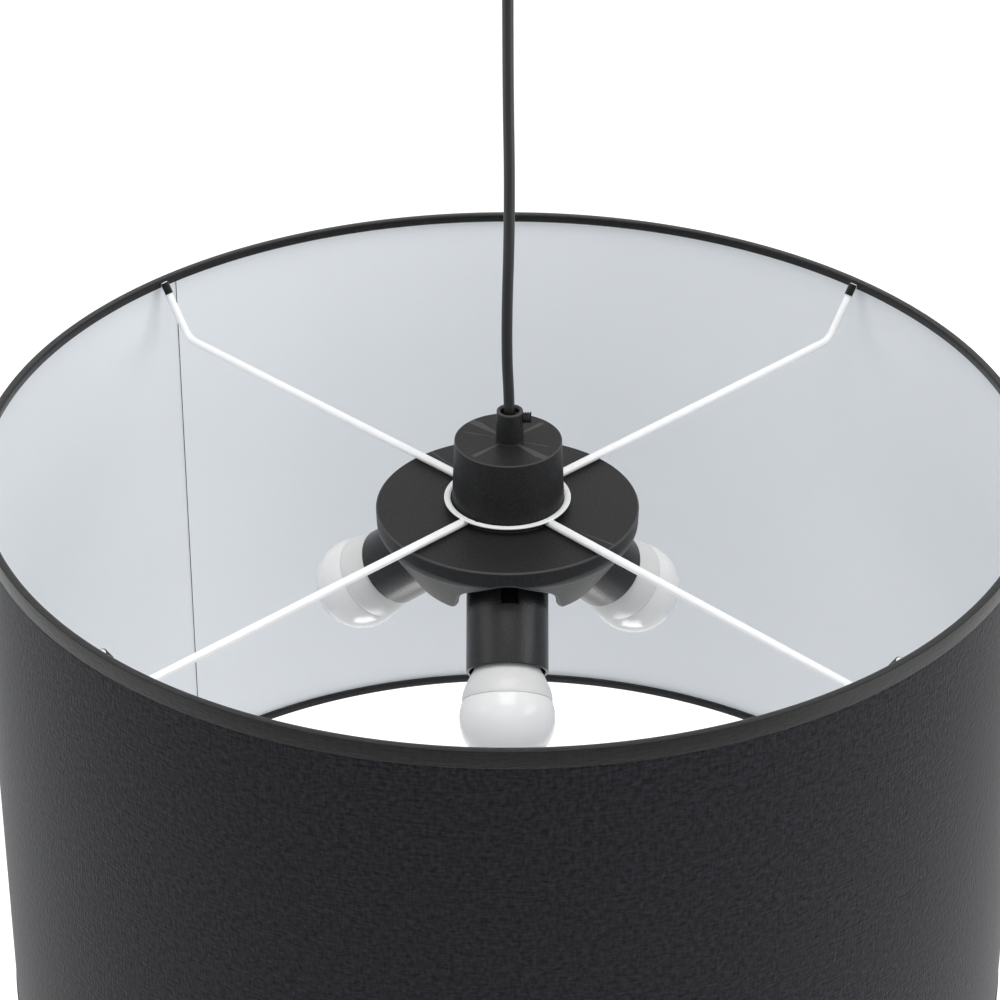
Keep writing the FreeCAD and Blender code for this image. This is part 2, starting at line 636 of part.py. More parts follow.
# Lampholders and bulbs, three alike
for name, turn in HOLDERS.items():
    axis = holder_frame(turn)
    sleeve = turned("holder_sleeve_" + name, [
        ("shank_rad + fit", "-holder_length"),
        ("holder_rad", "-holder_length"),
        ("holder_rad", "0"),
        ("holder_rad - holder_wall", "0"),
        ("holder_rad - holder_wall", "holder_base - holder_length"),
        ("shank_rad + fit", "holder_base - holder_length"),
    ], axis)
    round_edges(sleeve, "sleeve_back_" + name, "holder_round", [("holder_rad", "-holder_length")])
    pocket(sleeve, "sleeve_window_" + name, "YZ_Plane", "0",
           lambda d: outline(d, [("-window_width / 2", "-window_back - window_length"),
                                 ("window_width / 2", "-window_back - window_length"),
                                 ("window_width / 2", "-window_back"), ("-window_width / 2", "-window_back")]),
           "holder_rad + past")
    turned("holder_insert_" + name, [
        ("0", "-insert_floor"),
        ("shell_rad + shell_gauge + fit", "-insert_floor"),
        ("shell_rad + shell_gauge + fit", "-insert_top"),
        ("holder_rad - holder_wall - fit", "-insert_top"),
        ("holder_rad - holder_wall - fit", "holder_base - holder_length"),
        ("holder_rad - holder_wall - fit - insert_skirt", "holder_base - holder_length"),
        ("holder_rad - holder_wall - fit - insert_skirt", "-insert_floor - insert_floor_thick"),
        ("0", "-insert_floor - insert_floor_thick"),
    ], axis)
    turned("holder_thread_" + name, [
        ("shell_rad", "-shell_foot"),
        ("shell_rad + shell_gauge", "-shell_foot"),
        ("shell_rad + shell_gauge", "-shell_top"),
        ("shell_rad", "-shell_top"),
    ], axis)
    contact = body("holder_contact_" + name)
    drawing = sketch_on(contact, "XZ_Plane", "contact_outline_" + name)
    outline(drawing, [
        ("-contact_foot", "-insert_floor"),
        ("contact_fold", "-insert_floor"),
        ("contact_fold", "-insert_floor + contact_fold_height"),
        ("contact_flat - contact_tongue", "-tip_back - contact_gap"),
        ("-contact_tongue", "-tip_back - contact_gap"),
        ("-contact_tongue", "-tip_back - contact_gap - contact_gauge"),
        ("contact_flat - contact_tongue", "-tip_back - contact_gap - contact_gauge"),
        ("contact_fold - contact_flat", "-insert_floor + contact_gauge"),
        ("-contact_foot", "-insert_floor + contact_gauge"),
    ])
    strip = contact.newObject("PartDesign::Pad", "contact_strip_" + name)
    strip.Profile = drawing
    strip.Midplane = True
    bind(strip, Length="contact_width")
    bind(contact, Placement=axis)

    turned("bulb_tip_" + name, [
        ("0", "-tip_back"),
        ("tip_rad - tip_chamfer", "-tip_back"),
        ("tip_rad", "-tip_back + tip_chamfer"),
        ("tip_rad", "-cap_nose"),
        ("0", "-cap_nose"),
    ], axis)
    turned("bulb_cap_" + name, [
        ("0", "-cap_nose"),
        ("cap_nose_rad", "-cap_nose"),
        ("cap_rad - cap_chamfer", "-cap_foot"),
        ("cap_rad", "-cap_foot + cap_chamfer"),
        ("cap_rad", "-cap_top"),
        ("0", "-cap_top"),
    ], axis)
    housing = turned("bulb_housing_" + name, [
        ("0", "-cap_top"),
        ("housing_foot_rad", "-cap_top"),
        ("housing_foot_rad + housing_collar", "-cap_top + housing_collar_length"),
        ("housing_mouth_rad", "0"),
        ("housing_rad", "seam_out"),
        ("0", "seam_out"),
    ], axis)
    round_edges(housing, "housing_waist_" + name, "housing_waist", [("housing_mouth_rad", "0")])
    middle = up(axis, "globe_out")
    globe = solid("Sphere", "globe_outer_" + name, middle, Radius="globe_rad",
                  Angle1="asin((seam_out - globe_out) / globe_rad)")
    hollow = solid("Sphere", "globe_inner_" + name, middle, Radius="globe_rad - globe_wall")
    less("bulb_dome_" + name, globe, hollow)

# The shade's spider: a flat ring round the cup, four arms under it, and tape over each arm's end
ring = turned("spider_ring", [
    ("ring_rad - ring_width", "ring_height"),
    ("ring_rad", "ring_height"),
    ("ring_rad", "ring_height + ring_gauge"),
    ("ring_rad - ring_width + ring_lip", "ring_height + ring_gauge"),
    ("ring_rad - ring_width + ring_lip", "ring_height + ring_gauge + ring_lip_height"),
    ("ring_rad - ring_width", "ring_height + ring_gauge + ring_lip_height"),
], HUB)
round_edges(ring, "ring_rim", "ring_round",
            [("ring_rad", "ring_height"), ("ring_rad", "ring_height + ring_gauge")])
lip_gap = pocket(ring, "ring_lip_gap", "XY_Plane", "ring_height + ring_gauge",
                 lambda d: outline(d, [("ring_rad - ring_width - past", "-ring_slot / 2"),
                                       ("ring_rad - ring_width + ring_lip", "-ring_slot / 2"),
                                       ("ring_rad - ring_width + ring_lip", "ring_slot / 2"),
                                       ("ring_rad - ring_width - past", "ring_slot / 2")]),
                 "ring_lip_height + past", against=False)
bind(lip_gap.Profile[0], AttachmentOffset__Rotation__Angle="ring_slot_turn")
LINER_IN = "shade_rad - tape - fabric - liner"
EDGE_OUT = LINER_IN + " - edge_wire_rad"
TOP_WIRE = "shade_rise - tape - edge_wire_rad"
FOOT = "shade_rise - shade_height"
KNEE_OUT = "shade_rad - arm_knee_in"
END_OUT = "shade_rad - arm_end_in"
END_HEIGHT = "shade_rise - arm_end_down"
top_ring = solid("Torus", "top_ring", up(HUB, TOP_WIRE), Radius1=EDGE_OUT, Radius2="edge_wire_rad")
top_ring.Label = "top_ring"
foot_ring = solid("Torus", "bottom_ring", up(HUB, FOOT + " + tape + edge_wire_rad"),
                  Radius1=EDGE_OUT, Radius2="edge_wire_rad")
foot_ring.Label = "bottom_ring"


def arm_path(drawing):
    """Two straight runs with a bend between them, all tied to the sheet."""
    a = Vector(number("ring_rad - arm_tuck"), number("arm_start_height"), 0)
    b = Vector(number(KNEE_OUT), number("arm_knee_height"), 0)
    c = Vector(number(END_OUT), number(END_HEIGHT), 0)
    into = (b - a).normalize()
    out = (c - b).normalize()
    turn = into.getAngle(out)
    back = number("arm_knee_rad") * math.tan(turn / 2)
    start = b - into * back
    end = b + out * back
    middle = start + Vector(-into.y, into.x, 0) * number("arm_knee_rad")
    along = math.atan2(start.y - middle.y, start.x - middle.x)
    first = drawing.addGeometry(Part.LineSegment(a, start))
    bend = drawing.addGeometry(Part.ArcOfCircle(
        Part.Circle(middle, Vector(0, 0, 1), number("arm_knee_rad")), along, along + turn))
    last = drawing.addGeometry(Part.LineSegment(end, c))
    knee = drawing.addGeometry(Part.Point(b), True)
    drawing.addConstraint(Sketcher.Constraint("Tangent", first, 2, bend, 1))
    drawing.addConstraint(Sketcher.Constraint("Tangent", bend, 2, last, 1))
    drawing.addConstraint(Sketcher.Constraint("PointOnObject", knee, 1, first))
    drawing.addConstraint(Sketcher.Constraint("PointOnObject", knee, 1, last))
    locate(drawing, first, 1, "ring_rad - arm_tuck", "arm_start_height")
    locate(drawing, knee, 1, KNEE_OUT, "arm_knee_height")
    locate(drawing, last, 2, END_OUT, END_HEIGHT)
    index = drawing.addConstraint(Sketcher.Constraint("Radius", bend, number("arm_knee_rad")))
    drawing.setExpression("Constraints[%d]" % index, bound("arm_knee_rad"))


wires = joined("welded_wires", [ring, top_ring])
tabs = []
slots = []
for name, turn in ARMS.items():
    frame = HUB + " * " + spin("0; 0; 1", turn)
    wire = body(name + "_wire")
    route = sketch_on(wire, "XZ_Plane", name + "_route")
    arm_path(route)
    section = sketch_on(wire, "YZ_Plane", name + "_section", "ring_rad - arm_tuck")
    circle(section, "0", "arm_start_height", "arm_rad")
    pipe = wire.newObject("PartDesign::AdditivePipe", name + "_pipe")
    pipe.Profile = section
    pipe.Spine = (route, ["Edge1", "Edge2", "Edge3"])
    pipe.Mode = "Frenet"
    bind(wire, Placement=frame)
    less(name, wire, wires)
    slope = "atan((arm_knee_in - arm_end_in) / (%s - arm_knee_height))" % END_HEIGHT
    at_end = frame + " * " + shift(END_OUT, 0, END_HEIGHT) + " * " + spin("0; 1; 0", slope)
    tape_start = at_end + " * " + spin("0; 0; 1", "180 - tab_wrap / 2")
    tape_outer = cylinder(name + "_tape_outer", up(tape_start, "-tab_back - tab_length"),
                          "arm_rad + tab_wall", "tab_length")
    bind(tape_outer, Angle="tab_wrap")
    tape_inner = cylinder(name + "_tape_inner", up(at_end, "-tab_back - tab_length - past"),
                          "arm_rad", "tab_length + 2 * past")
    tabs.append(less(name + "_tape", tape_outer, tape_inner))
    slots.append(box(name + "_slot", frame + " * " + shift(
        LINER_IN + " - 2 * edge_wire_rad - tape - past", "-arm_rad - tab_wall - slot_gap",
        "shade_rise - tape_inside - past"),
        "2 * edge_wire_rad + tape + past - slot_gap", "2 * (arm_rad + tab_wall + slot_gap)",
        "tape_inside + past - tape"))
grouped("arm_tabs", tabs)

# The shade: white liner, dark fabric on it, tape folded over the wire at both edges
liner = turned("shade_liner", [
    (LINER_IN, FOOT + " + tape"),
    (LINER_IN + " + liner", FOOT + " + tape"),
    (LINER_IN + " + liner", "shade_rise - tape"),
    (LINER_IN, "shade_rise - tape"),
], HUB + " * " + spin("0; 0; 1", "overlap_turn"))
strip_outline = sketch_on(liner, "XZ_Plane", "overlap_outline")
outline(strip_outline, [
    (LINER_IN + " - overlap", FOOT + " + tape_inside + overlap_end"),
    (LINER_IN + " + liner / 2", FOOT + " + tape_inside + overlap_end"),
    (LINER_IN + " + liner / 2", "shade_rise - tape_inside - overlap_end"),
    (LINER_IN + " - overlap", "shade_rise - tape_inside - overlap_end"),
])
lap = liner.newObject("PartDesign::Revolution", "overlap_strip")
lap.Profile = strip_outline
lap.ReferenceAxis = (strip_outline, ["V_Axis"])
bind(lap, Angle="overlap_spread")
doc.recompute()

turned("shade_fabric", [
    ("shade_rad - tape - fabric", FOOT + " + tape"),
    ("shade_rad - tape", FOOT + " + tape"),
    ("shade_rad - tape", "shade_rise - tape"),
    ("shade_rad - tape - fabric", "shade_rise - tape"),
], HUB)


def edge_tape(name, edge, way, frame):
    """Tape folded over an edge wire: way is 1 where it hangs from the edge and -1 where it stands."""
    inside = LINER_IN + " - 2 * edge_wire_rad"
    side = "%s - %d * " % (edge, way)
    piece = turned(name, [
        ("shade_rad", edge),
        ("shade_rad", side + "tape_outside"),
        ("shade_rad - tape", side + "tape_outside"),
        ("shade_rad - tape", side + "tape"),
        (inside, side + "tape"),
        (inside, side + "(tape_inside - tape)"),
        (LINER_IN, side + "(tape_inside - tape)"),
        (LINER_IN, side + "tape_inside"),
        (inside + " - tape", side + "tape_inside"),
        (inside + " - tape", edge),
    ], frame)
    round_edges(piece, name + "_shoulder", "tape_round", [("shade_rad", edge)])
    return piece


whole_tape = edge_tape("top_tape", "shade_rise", 1, HUB)
less("top_trim", whole_tape, joined("arm_slots", slots))
edge_tape("bottom_trim", FOOT, -1, HUB)

# The cord: nearly straight, with the slight sway of a cord that was once folded
cord_top = number("-bracket_gauge - block_height")
cord_foot = number("stud_above + inner_block_height - drop")
hub_z = number("-drop")
route_points = [
    Vector(number("hub_shift"), 0, cord_foot),
    Vector(number("hub_shift"), 0, hub_z + 51.9),
    Vector(-0.75, 0, hub_z + 86.9),
    Vector(1.15, 0, hub_z + 155.9),
    Vector(0, 0, hub_z + 223.9),
    Vector(0, 0, cord_top),
]


def rounded_route(points):
    """Straight runs joined by tangent arcs; each arc takes under half of the shorter run beside it."""
    edges = []
    start = points[0]
    radii = []
    for before, corner, after in zip(points, points[1:], points[2:]):
        into = (corner - before).normalize()
        out = (after - corner).normalize()
        turn = into.getAngle(out)
        back = 0.45 * min((corner - before).Length, (after - corner).Length)
        radius = back / math.tan(turn / 2)
        radii.append(radius)
        first = corner - into * back
        last = corner + out * back
        middle = corner + (out - into).normalize() * (radius / math.cos(turn / 2) - radius)
        edges.append(Part.LineSegment(start, first).toShape())
        edges.append(Part.Arc(first, middle, last).toShape())
        start = last
    edges.append(Part.LineSegment(start, points[-1]).toShape())
    return Part.Wire(edges), radii


route, radii = rounded_route(route_points)
section = Part.Wire([Part.Circle(route_points[0], Vector(0, 0, 1), number("cord_rad")).toShape()])
cord = doc.addObject("Part::Feature", "suspension_cord")
cord.Label = "suspension_cord"
cord.Shape = route.makePipeShell([section], True, True)
expected = math.pi * number("cord_rad") ** 2 * route.Length
print("cord radii %s, length %.1f, volume %.0f against %.0f" % (
    ["%.0f" % r for r in radii], route.Length, cord.Shape.Volume, expected))
doc.recompute()

NODES = [
    "ceiling_bracket", "ceiling_terminal_block", "canopy", "canopy_grip", "canopy_grip_screw",
    "canopy_nut", "suspension_cord", "hub_grip", "hub_grip_screw", "hub_nut", "hub_cup", "cup_screws",
    "cup_terminal_block", "hub_body", "hub_stud", "stud_nut", "holder_carrier", "carrier_plug",
    "holder_nipples", "spider_ring", "arm_front_left", "arm_front_right", "arm_back_right",
    "arm_back_left", "arm_tabs", "top_ring", "bottom_ring", "shade_liner", "shade_fabric", "top_trim",
    "bottom_trim",
]
for kind in ("holder_sleeve", "holder_insert", "holder_thread", "holder_contact", "bulb_tip", "bulb_cap",
             "bulb_housing", "bulb_dome"):
    NODES += [kind + "_" + name for name in HOLDERS]

os.makedirs("parts", exist_ok=True)
for piece in doc.Objects:
    if "Invalid" in piece.State or "Error" in piece.State:
        raise RuntimeError("%s did not build: %s" % (piece.Name, piece.State))
for name in NODES:
    piece = doc.getObject(name)
    shape = piece.Shape
    if shape.isNull() or not shape.isValid() or not shape.Solids:
        raise RuntimeError(name + " has no sound solid")
    shape.exportStep("parts/%s.step" % name)
    box_of = shape.BoundBox
    print("%-24s solids %d volume %10.1f  x %.1f %.1f  y %.1f %.1f  z %.1f %.1f" % (
        name, len(shape.Solids), shape.Volume, box_of.XMin, box_of.XMax, box_of.YMin, box_of.YMax,
        box_of.ZMin, box_of.ZMax))
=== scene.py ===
# %% [markdown]
# # A drum-shade hanging lamp, dressed for its picture
# The solid model of the lamp comes in first. It fixes where every piece is and how it moves, and
# nothing below may move it. What this lesson adds is what the eye wants: smooth round walls, a
# woven cover, satin plastics, a real cord and gentle studio light.

# %% Load the solid lamp
import math

import bmesh
import bpy
from mathutils import Matrix, Vector


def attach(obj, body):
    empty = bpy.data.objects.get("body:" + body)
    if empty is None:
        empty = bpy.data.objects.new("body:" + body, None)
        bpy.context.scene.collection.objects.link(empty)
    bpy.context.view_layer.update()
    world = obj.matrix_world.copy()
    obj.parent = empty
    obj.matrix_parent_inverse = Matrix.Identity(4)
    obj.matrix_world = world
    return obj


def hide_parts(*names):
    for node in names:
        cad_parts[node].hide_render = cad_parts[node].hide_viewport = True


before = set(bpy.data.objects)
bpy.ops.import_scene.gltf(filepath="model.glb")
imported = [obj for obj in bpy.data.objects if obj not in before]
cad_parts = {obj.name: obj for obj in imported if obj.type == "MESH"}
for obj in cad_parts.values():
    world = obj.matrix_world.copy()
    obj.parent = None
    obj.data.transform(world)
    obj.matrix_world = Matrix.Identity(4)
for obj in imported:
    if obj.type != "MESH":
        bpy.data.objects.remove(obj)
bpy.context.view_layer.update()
scene = bpy.context.scene
MM = 0.001

# %% [markdown]
# ## The camera
# The picture was taken from in front and about thirty degrees above, with a long lens, so the
# shade's two rims look nearly alike in shape. A long lens about 1.7 m from the hub does the same
# here. Its place was found by matching those two rims alone. The sizes of the hub and of the
# lampholders were then read through it.

# %% Place the camera
CAMERA_PLACE = (0, -1.470809, 0.578158)
CAMERA_TURN = (59.06973, 0.02696, 0.10331)
camera_data = bpy.data.cameras.new("studio_camera")
camera_data.lens = 129.815
camera_data.sensor_width = 36
camera_data.shift_x = -0.001
camera_data.shift_y = 0.001
camera_data.clip_end = 50
camera = bpy.data.objects.new("studio_camera", camera_data)
camera.location = CAMERA_PLACE
camera.rotation_euler = [math.radians(a) for a in CAMERA_TURN]
scene.collection.objects.link(camera)
scene.camera = camera
print("lens", camera_data.lens, "mm")

# %% [markdown]
# ## The room
# A lamp that hangs needs no table, so the floor lies well below it, pale and plain. To the eye the
# floor and the sky are white, and the lamp's shadow still falls on the floor. To the lamp they are
# less bright, so the white lining keeps its soft grey.

# %% The sky
scene.view_settings.view_transform = "Standard"


def seen_or_lit(tree, lit, seen):
    """The lit shader for light, and the plain white one for the eye, for gloss and through glass."""
    path = tree.nodes.new("ShaderNodeLightPath")
    either = tree.nodes.new("ShaderNodeMath")
    either.operation = "MAXIMUM"
    every = tree.nodes.new("ShaderNodeMath")
    every.operation = "MAXIMUM"
    mix = tree.nodes.new("ShaderNodeMixShader")
    tree.links.new(path.outputs["Is Camera Ray"], either.inputs[0])
    tree.links.new(path.outputs["Is Transmission Ray"], either.inputs[1])
    tree.links.new(either.outputs[0], every.inputs[0])
    tree.links.new(path.outputs["Is Glossy Ray"], every.inputs[1])
    tree.links.new(every.outputs[0], mix.inputs[0])
    tree.links.new(lit.outputs[0], mix.inputs[1])
    tree.links.new(seen.outputs[0], mix.inputs[2])
    return mix


world = bpy.data.worlds.new("studio")
scene.world = world
world.use_nodes = True
sky = world.node_tree
sky.nodes.clear()
sky_light = sky.nodes.new("ShaderNodeBackground")
sky_light.inputs["Color"].default_value = (0.97, 0.982, 1.0, 1)
sky_light.inputs["Strength"].default_value = 0.6
sky_white = sky.nodes.new("ShaderNodeBackground")
sky_white.inputs["Color"].default_value = (1, 1, 1, 1)
sky_white.inputs["Strength"].default_value = 1.0
sky_out = sky.nodes.new("ShaderNodeOutputWorld")
sky.links.new(seen_or_lit(sky, sky_light, sky_white).outputs[0], sky_out.inputs["Surface"])
print("sky ready")

# %% The floor
FLOOR_Z = -1.75
floor_mesh = bpy.data.meshes.new("floor")
corners = [(-30, -30, FLOOR_Z), (30, -30, FLOOR_Z), (30, 30, FLOOR_Z), (-30, 30, FLOOR_Z)]
floor_mesh.from_pydata(corners, [], [(0, 1, 2, 3)])
floor = bpy.data.objects.new("floor", floor_mesh)
scene.collection.objects.link(floor)
floor_paint = bpy.data.materials.new("floor_paint")
floor_paint.use_nodes = True
floor_tree = floor_paint.node_tree
floor_matt = floor_tree.nodes["Principled BSDF"]
floor_matt.inputs["Base Color"].default_value = (0.68, 0.68, 0.68, 1)
floor_matt.inputs["Roughness"].default_value = 0.9
floor_glow = floor_tree.nodes.new("ShaderNodeEmission")
floor_glow.inputs["Color"].default_value = (1, 1, 1, 1)
floor_glow.inputs["Strength"].default_value = 0.66
floor_seen = floor_tree.nodes.new("ShaderNodeAddShader")
floor_tree.links.new(floor_matt.outputs[0], floor_seen.inputs[0])
floor_tree.links.new(floor_glow.outputs[0], floor_seen.inputs[1])
floor_mix = seen_or_lit(floor_tree, floor_matt, floor_seen)
floor_tree.links.new(floor_mix.outputs[0], floor_tree.nodes["Material Output"].inputs["Surface"])
floor_mesh.materials.append(floor_paint)
print("floor at", FLOOR_Z, "m")

# %% [markdown]
# ## Soft boxes
# The shade's front is darkest in the middle and brightens towards both sides, more to the right, so
# the big lamps stand left and right and the right one is stronger. One more above fills the inside
# of the shade, and a small one lies below. That one only shows in glossy things: it is the white
# patch that the bulbs mirror.


# %% Four soft boxes
def soft_box(name, place, aim, width, height, power):
    """One big soft lamp that faces a point."""
    data = bpy.data.lights.new(name, "AREA")
    data.shape = "RECTANGLE"
    data.size = width
    data.size_y = height
    data.energy = power
    lamp = bpy.data.objects.new(name, data)
    lamp.location = place
    lamp.rotation_euler = (Vector(aim) - Vector(place)).to_track_quat("-Z", "Y").to_euler()
    scene.collection.objects.link(lamp)
    return lamp


LAMP_MIDDLE = (0, 0, -0.42)
soft_box("left_box", (-2.4, -0.6, -0.05), LAMP_MIDDLE, width=1.5, height=3.3, power=23)
soft_box("right_box", (2.4, -0.7, -0.05), LAMP_MIDDLE, width=1.5, height=3.3, power=43)
soft_box("top_box", (0, -0.3, 2.0), LAMP_MIDDLE, width=1.4, height=1.4, power=26)
low_box = soft_box("low_box", (0, -0.25, -1.6), (0, -0.25, 0), width=0.6, height=0.62, power=8.5)
low_box.visible_diffuse = False
print("four soft boxes")

# %% [markdown]
# ## Finishes
# Each finish starts from one shader whose even values are typed straight into it. Four small
# helpers then make the surface live: the colour drifts a little, as on moulded and woven things,
# the roughness drifts too, a fine grain is raised, and a highlight is painted along edges that stand out.


# %% Shader, drift, grain and painted edge highlights
def finish(name, colour, roughness, **even):
    """A new material; even values are set on the shader itself."""
    material = bpy.data.materials.new(name)
    material.use_nodes = True
    shader = material.node_tree.nodes["Principled BSDF"]
    shader.inputs["Base Color"].default_value = (*colour, 1)
    shader.inputs["Roughness"].default_value = roughness
    for socket, value in even.items():
        shader.inputs[socket.replace("_", " ")].default_value = value
    return material


def place_of(material, kind="Object"):
    """Where on the piece a point is: its own coordinates, or the cloth's."""
    return material.node_tree.nodes.new("ShaderNodeTexCoord").outputs[kind]


def noise(material, scale, detail=2.0, stretch=(1, 1, 1), kind="Object"):
    """A noise in the piece's own space, as many lumps to the metre as its scale says."""
    nodes = material.node_tree.nodes
    links = material.node_tree.links
    mapping = nodes.new("ShaderNodeMapping")
    mapping.inputs["Scale"].default_value = stretch
    links.new(place_of(material, kind), mapping.inputs["Vector"])
    texture = nodes.new("ShaderNodeTexNoise")
    texture.inputs["Scale"].default_value = scale
    texture.inputs["Detail"].default_value = detail
    links.new(mapping.outputs[0], texture.inputs["Vector"])
    return texture.outputs["Fac"]


def drift(material, fac, dark, light, low=0.35, high=0.65):
    """The colour drifts between two shades with fac."""
    nodes = material.node_tree.nodes
    links = material.node_tree.links
    ramp = nodes.new("ShaderNodeValToRGB")
    ramp.color_ramp.elements[0].position = low
    ramp.color_ramp.elements[0].color = (*dark, 1)
    ramp.color_ramp.elements[1].position = high
    ramp.color_ramp.elements[1].color = (*light, 1)
    links.new(fac, ramp.inputs["Fac"])
    links.new(ramp.outputs["Color"], nodes["Principled BSDF"].inputs["Base Color"])


def roughness_drift(material, fac, low, high):
    """The roughness drifts between two values with fac."""
    nodes = material.node_tree.nodes
    links = material.node_tree.links
    spread = nodes.new("ShaderNodeMapRange")
    spread.inputs["To Min"].default_value = low
    spread.inputs["To Max"].default_value = high
    links.new(fac, spread.inputs["Value"])
    links.new(spread.outputs["Result"], nodes["Principled BSDF"].inputs["Roughness"])


def grain(material, fac, height):
    """Raises the surface by up to height, in metres."""
    nodes = material.node_tree.nodes
    links = material.node_tree.links
    bump = nodes.new("ShaderNodeBump")
    bump.inputs["Strength"].default_value = 1.0
    bump.inputs["Distance"].default_value = height
    links.new(fac, bump.inputs["Height"])
    shader = nodes["Principled BSDF"]
    if shader.inputs["Normal"].is_linked:
        links.new(shader.inputs["Normal"].links[0].from_socket, bump.inputs["Normal"])
    links.new(bump.outputs["Normal"], shader.inputs["Normal"])


def painted_edge_highlight(material, colour, low=0.504, high=0.511):
    """Paints a lighter highlight along edges: Pointiness is 0.5 where a face is flat and more where a
    point stands out.
    """
    nodes = material.node_tree.nodes
    links = material.node_tree.links
    spread = nodes.new("ShaderNodeMapRange")
    spread.inputs["From Min"].default_value = low
    spread.inputs["From Max"].default_value = high
    links.new(nodes.new("ShaderNodeNewGeometry").outputs["Pointiness"], spread.inputs["Value"])
    mix = nodes.new("ShaderNodeMix")
    mix.data_type = "RGBA"
    shader = nodes["Principled BSDF"]
    links.new(spread.outputs["Result"], mix.inputs["Factor"])
    links.new(shader.inputs["Base Color"].links[0].from_socket, mix.inputs["A"])
    mix.inputs["B"].default_value = (*colour, 1)
    links.new(mix.outputs["Result"], shader.inputs["Base Color"])


print("finish helpers ready")

# %% [markdown]
# ## Black plastics
# The hub, the grip and the lampholders are moulded in black. The mould was finely blasted, which
# gives a satin face with a very small grain. Along the hub's edges runs a fine pale line of light,
# which is painted on as a highlight. The holders are a little smoother and show soft upright streaks of
# light.

# %% Hub plastic, holder plastic and the holder's core, darkened as painted shade
hub_black = finish("hub_black", (0.0175, 0.0175, 0.018), 0.45, Specular_IOR_Level=0.15)
drift(hub_black, noise(hub_black, 700, 4), (0.0137, 0.0137, 0.0141), (0.0213, 0.0213, 0.0219))
roughness_drift(hub_black, noise(hub_black, 900, 2), 0.36, 0.54)
grain(hub_black, noise(hub_black, 1900, 2), 0.00007)
# Painted highlight: edges that stand out on the hub are painted a paler black.
painted_edge_highlight(hub_black, (0.06, 0.06, 0.061))

holder_black = finish("holder_black", (0.0125, 0.013, 0.0138), 0.28, Specular_IOR_Level=0.33)
drift(holder_black, noise(holder_black, 1300, 3),
      (0.0085, 0.0088, 0.0094), (0.0165, 0.0172, 0.0182))
roughness_drift(holder_black, noise(holder_black, 900, 2), 0.24, 0.36)
grain(holder_black, noise(holder_black, 1200, 2), 0.00012)

# Painted shade: the core is near-black, far darker than the moulded black, so that the recess behind the
# sleeve's window reads dark. The bulbs' noses use it too.
core_black_painted_shade = finish("core_black_painted_shade", (0.002, 0.002, 0.0021), 0.6, Specular_IOR_Level=0.05)
drift(core_black_painted_shade, noise(core_black_painted_shade, 200, 3), (0.0015, 0.0015, 0.0016), (0.0025, 0.0025, 0.0026))
print("three black plastics")

# %% [markdown]
# ## Cord
# The sheath is smooth soft plastic, drawn through a die, so its faint streaks run along it.

# %% Cord sheath
sheath = finish("sheath", (0.018, 0.018, 0.0185), 0.36, Specular_IOR_Level=0.32)
drift(sheath, noise(sheath, 900, 3, (1, 1, 0.03)), (0.015, 0.015, 0.0155), (0.021, 0.021, 0.0215))
roughness_drift(sheath, noise(sheath, 300, 2), 0.3, 0.44)
grain(sheath, noise(sheath, 1500, 2, (1, 1, 0.05)), 0.00002)
print("sheath ready")

# %% [markdown]
# ## White wire and the lining
# The spider is steel wire in white powder paint, with that paint's slight orange peel. The lining
# is a smooth white film with a cold tint; it is glued to the cloth, so a little of the cloth's
# unevenness comes through.

# %% White paint and white film
wire_white = finish("wire_white", (0.94, 0.94, 0.94), 0.3)
drift(wire_white, noise(wire_white, 150, 3), (0.92, 0.92, 0.92), (0.955, 0.955, 0.955))
grain(wire_white, noise(wire_white, 1300, 2), 0.00004)

lining_white = finish("lining_white", (0.818, 0.844, 0.873), 0.42)
drift(lining_white, noise(lining_white, 12, 4), (0.811, 0.837, 0.866), (0.825, 0.851, 0.88))
roughness_drift(lining_white, noise(lining_white, 160, 3), 0.36, 0.5)
grain(lining_white, noise(lining_white, 420, 3), 0.00003)
print("white paint and film")

# %% [markdown]
# ## Cloth and tape
# The cover is a close plain weave in charcoal, threads across and threads along. Drawn thread by
# thread it would shimmer at this size, so two noises, one drawn out each way, stand for them. They
# make some spots darker and some lighter, and raise them. Seen close, that reads as a pebbled grain
# more than as threads. The edge tape is a smooth ribbon with a soft gloss.


# %% Woven cloth
def crossed(material, scale, draw):
    """One noise drawn out across the cloth and one along it, added up, from 0 to 1."""
    nodes = material.node_tree.nodes
    links = material.node_tree.links
    both = nodes.new("ShaderNodeMath")
    both.operation = "ADD"
    links.new(noise(material, scale, 2, (1, draw, 1), "UV"), both.inputs[0])
    links.new(noise(material, scale, 2, (draw, 1, 1), "UV"), both.inputs[1])
    half = nodes.new("ShaderNodeMath")
    half.operation = "MULTIPLY"
    half.inputs[1].default_value = 0.5
    links.new(both.outputs[0], half.inputs[0])
    return half.outputs[0]


cover_cloth = finish("cover_cloth", (0.0135, 0.0135, 0.017), 0.75, Specular_IOR_Level=0.05,
                     Sheen_Weight=0.35, Sheen_Roughness=0.4)
cover_threads = crossed(cover_cloth, 620, 0.45)
drift(cover_cloth, cover_threads, (0.003, 0.003, 0.0045), (0.024, 0.024, 0.0295), 0.36, 0.64)
grain(cover_cloth, crossed(cover_cloth, 850, 0.25), 0.0005)

tape_cloth = finish("tape_cloth", (0.005, 0.0052, 0.0052), 0.34, Specular_IOR_Level=0.11,
                    Sheen_Weight=0.25, Sheen_Roughness=0.5)
tape_threads = crossed(tape_cloth, 560, 0.25)
drift(tape_cloth, tape_threads, (0.0015, 0.0016, 0.0016), (0.0085, 0.0087, 0.0087), 0.36, 0.64)
grain(tape_cloth, noise(tape_cloth, 700, 2, (0.3, 1, 1), "UV"), 0.00018)
print("cloth and tape")

# %% [markdown]
# ## Bulbs and metals
# The bulb's housing is white plastic, the globe is opal and lets light sink in a little. Cap and
# screw shell are thin bright sheet, the contacts brass, the hidden fittings zinc.

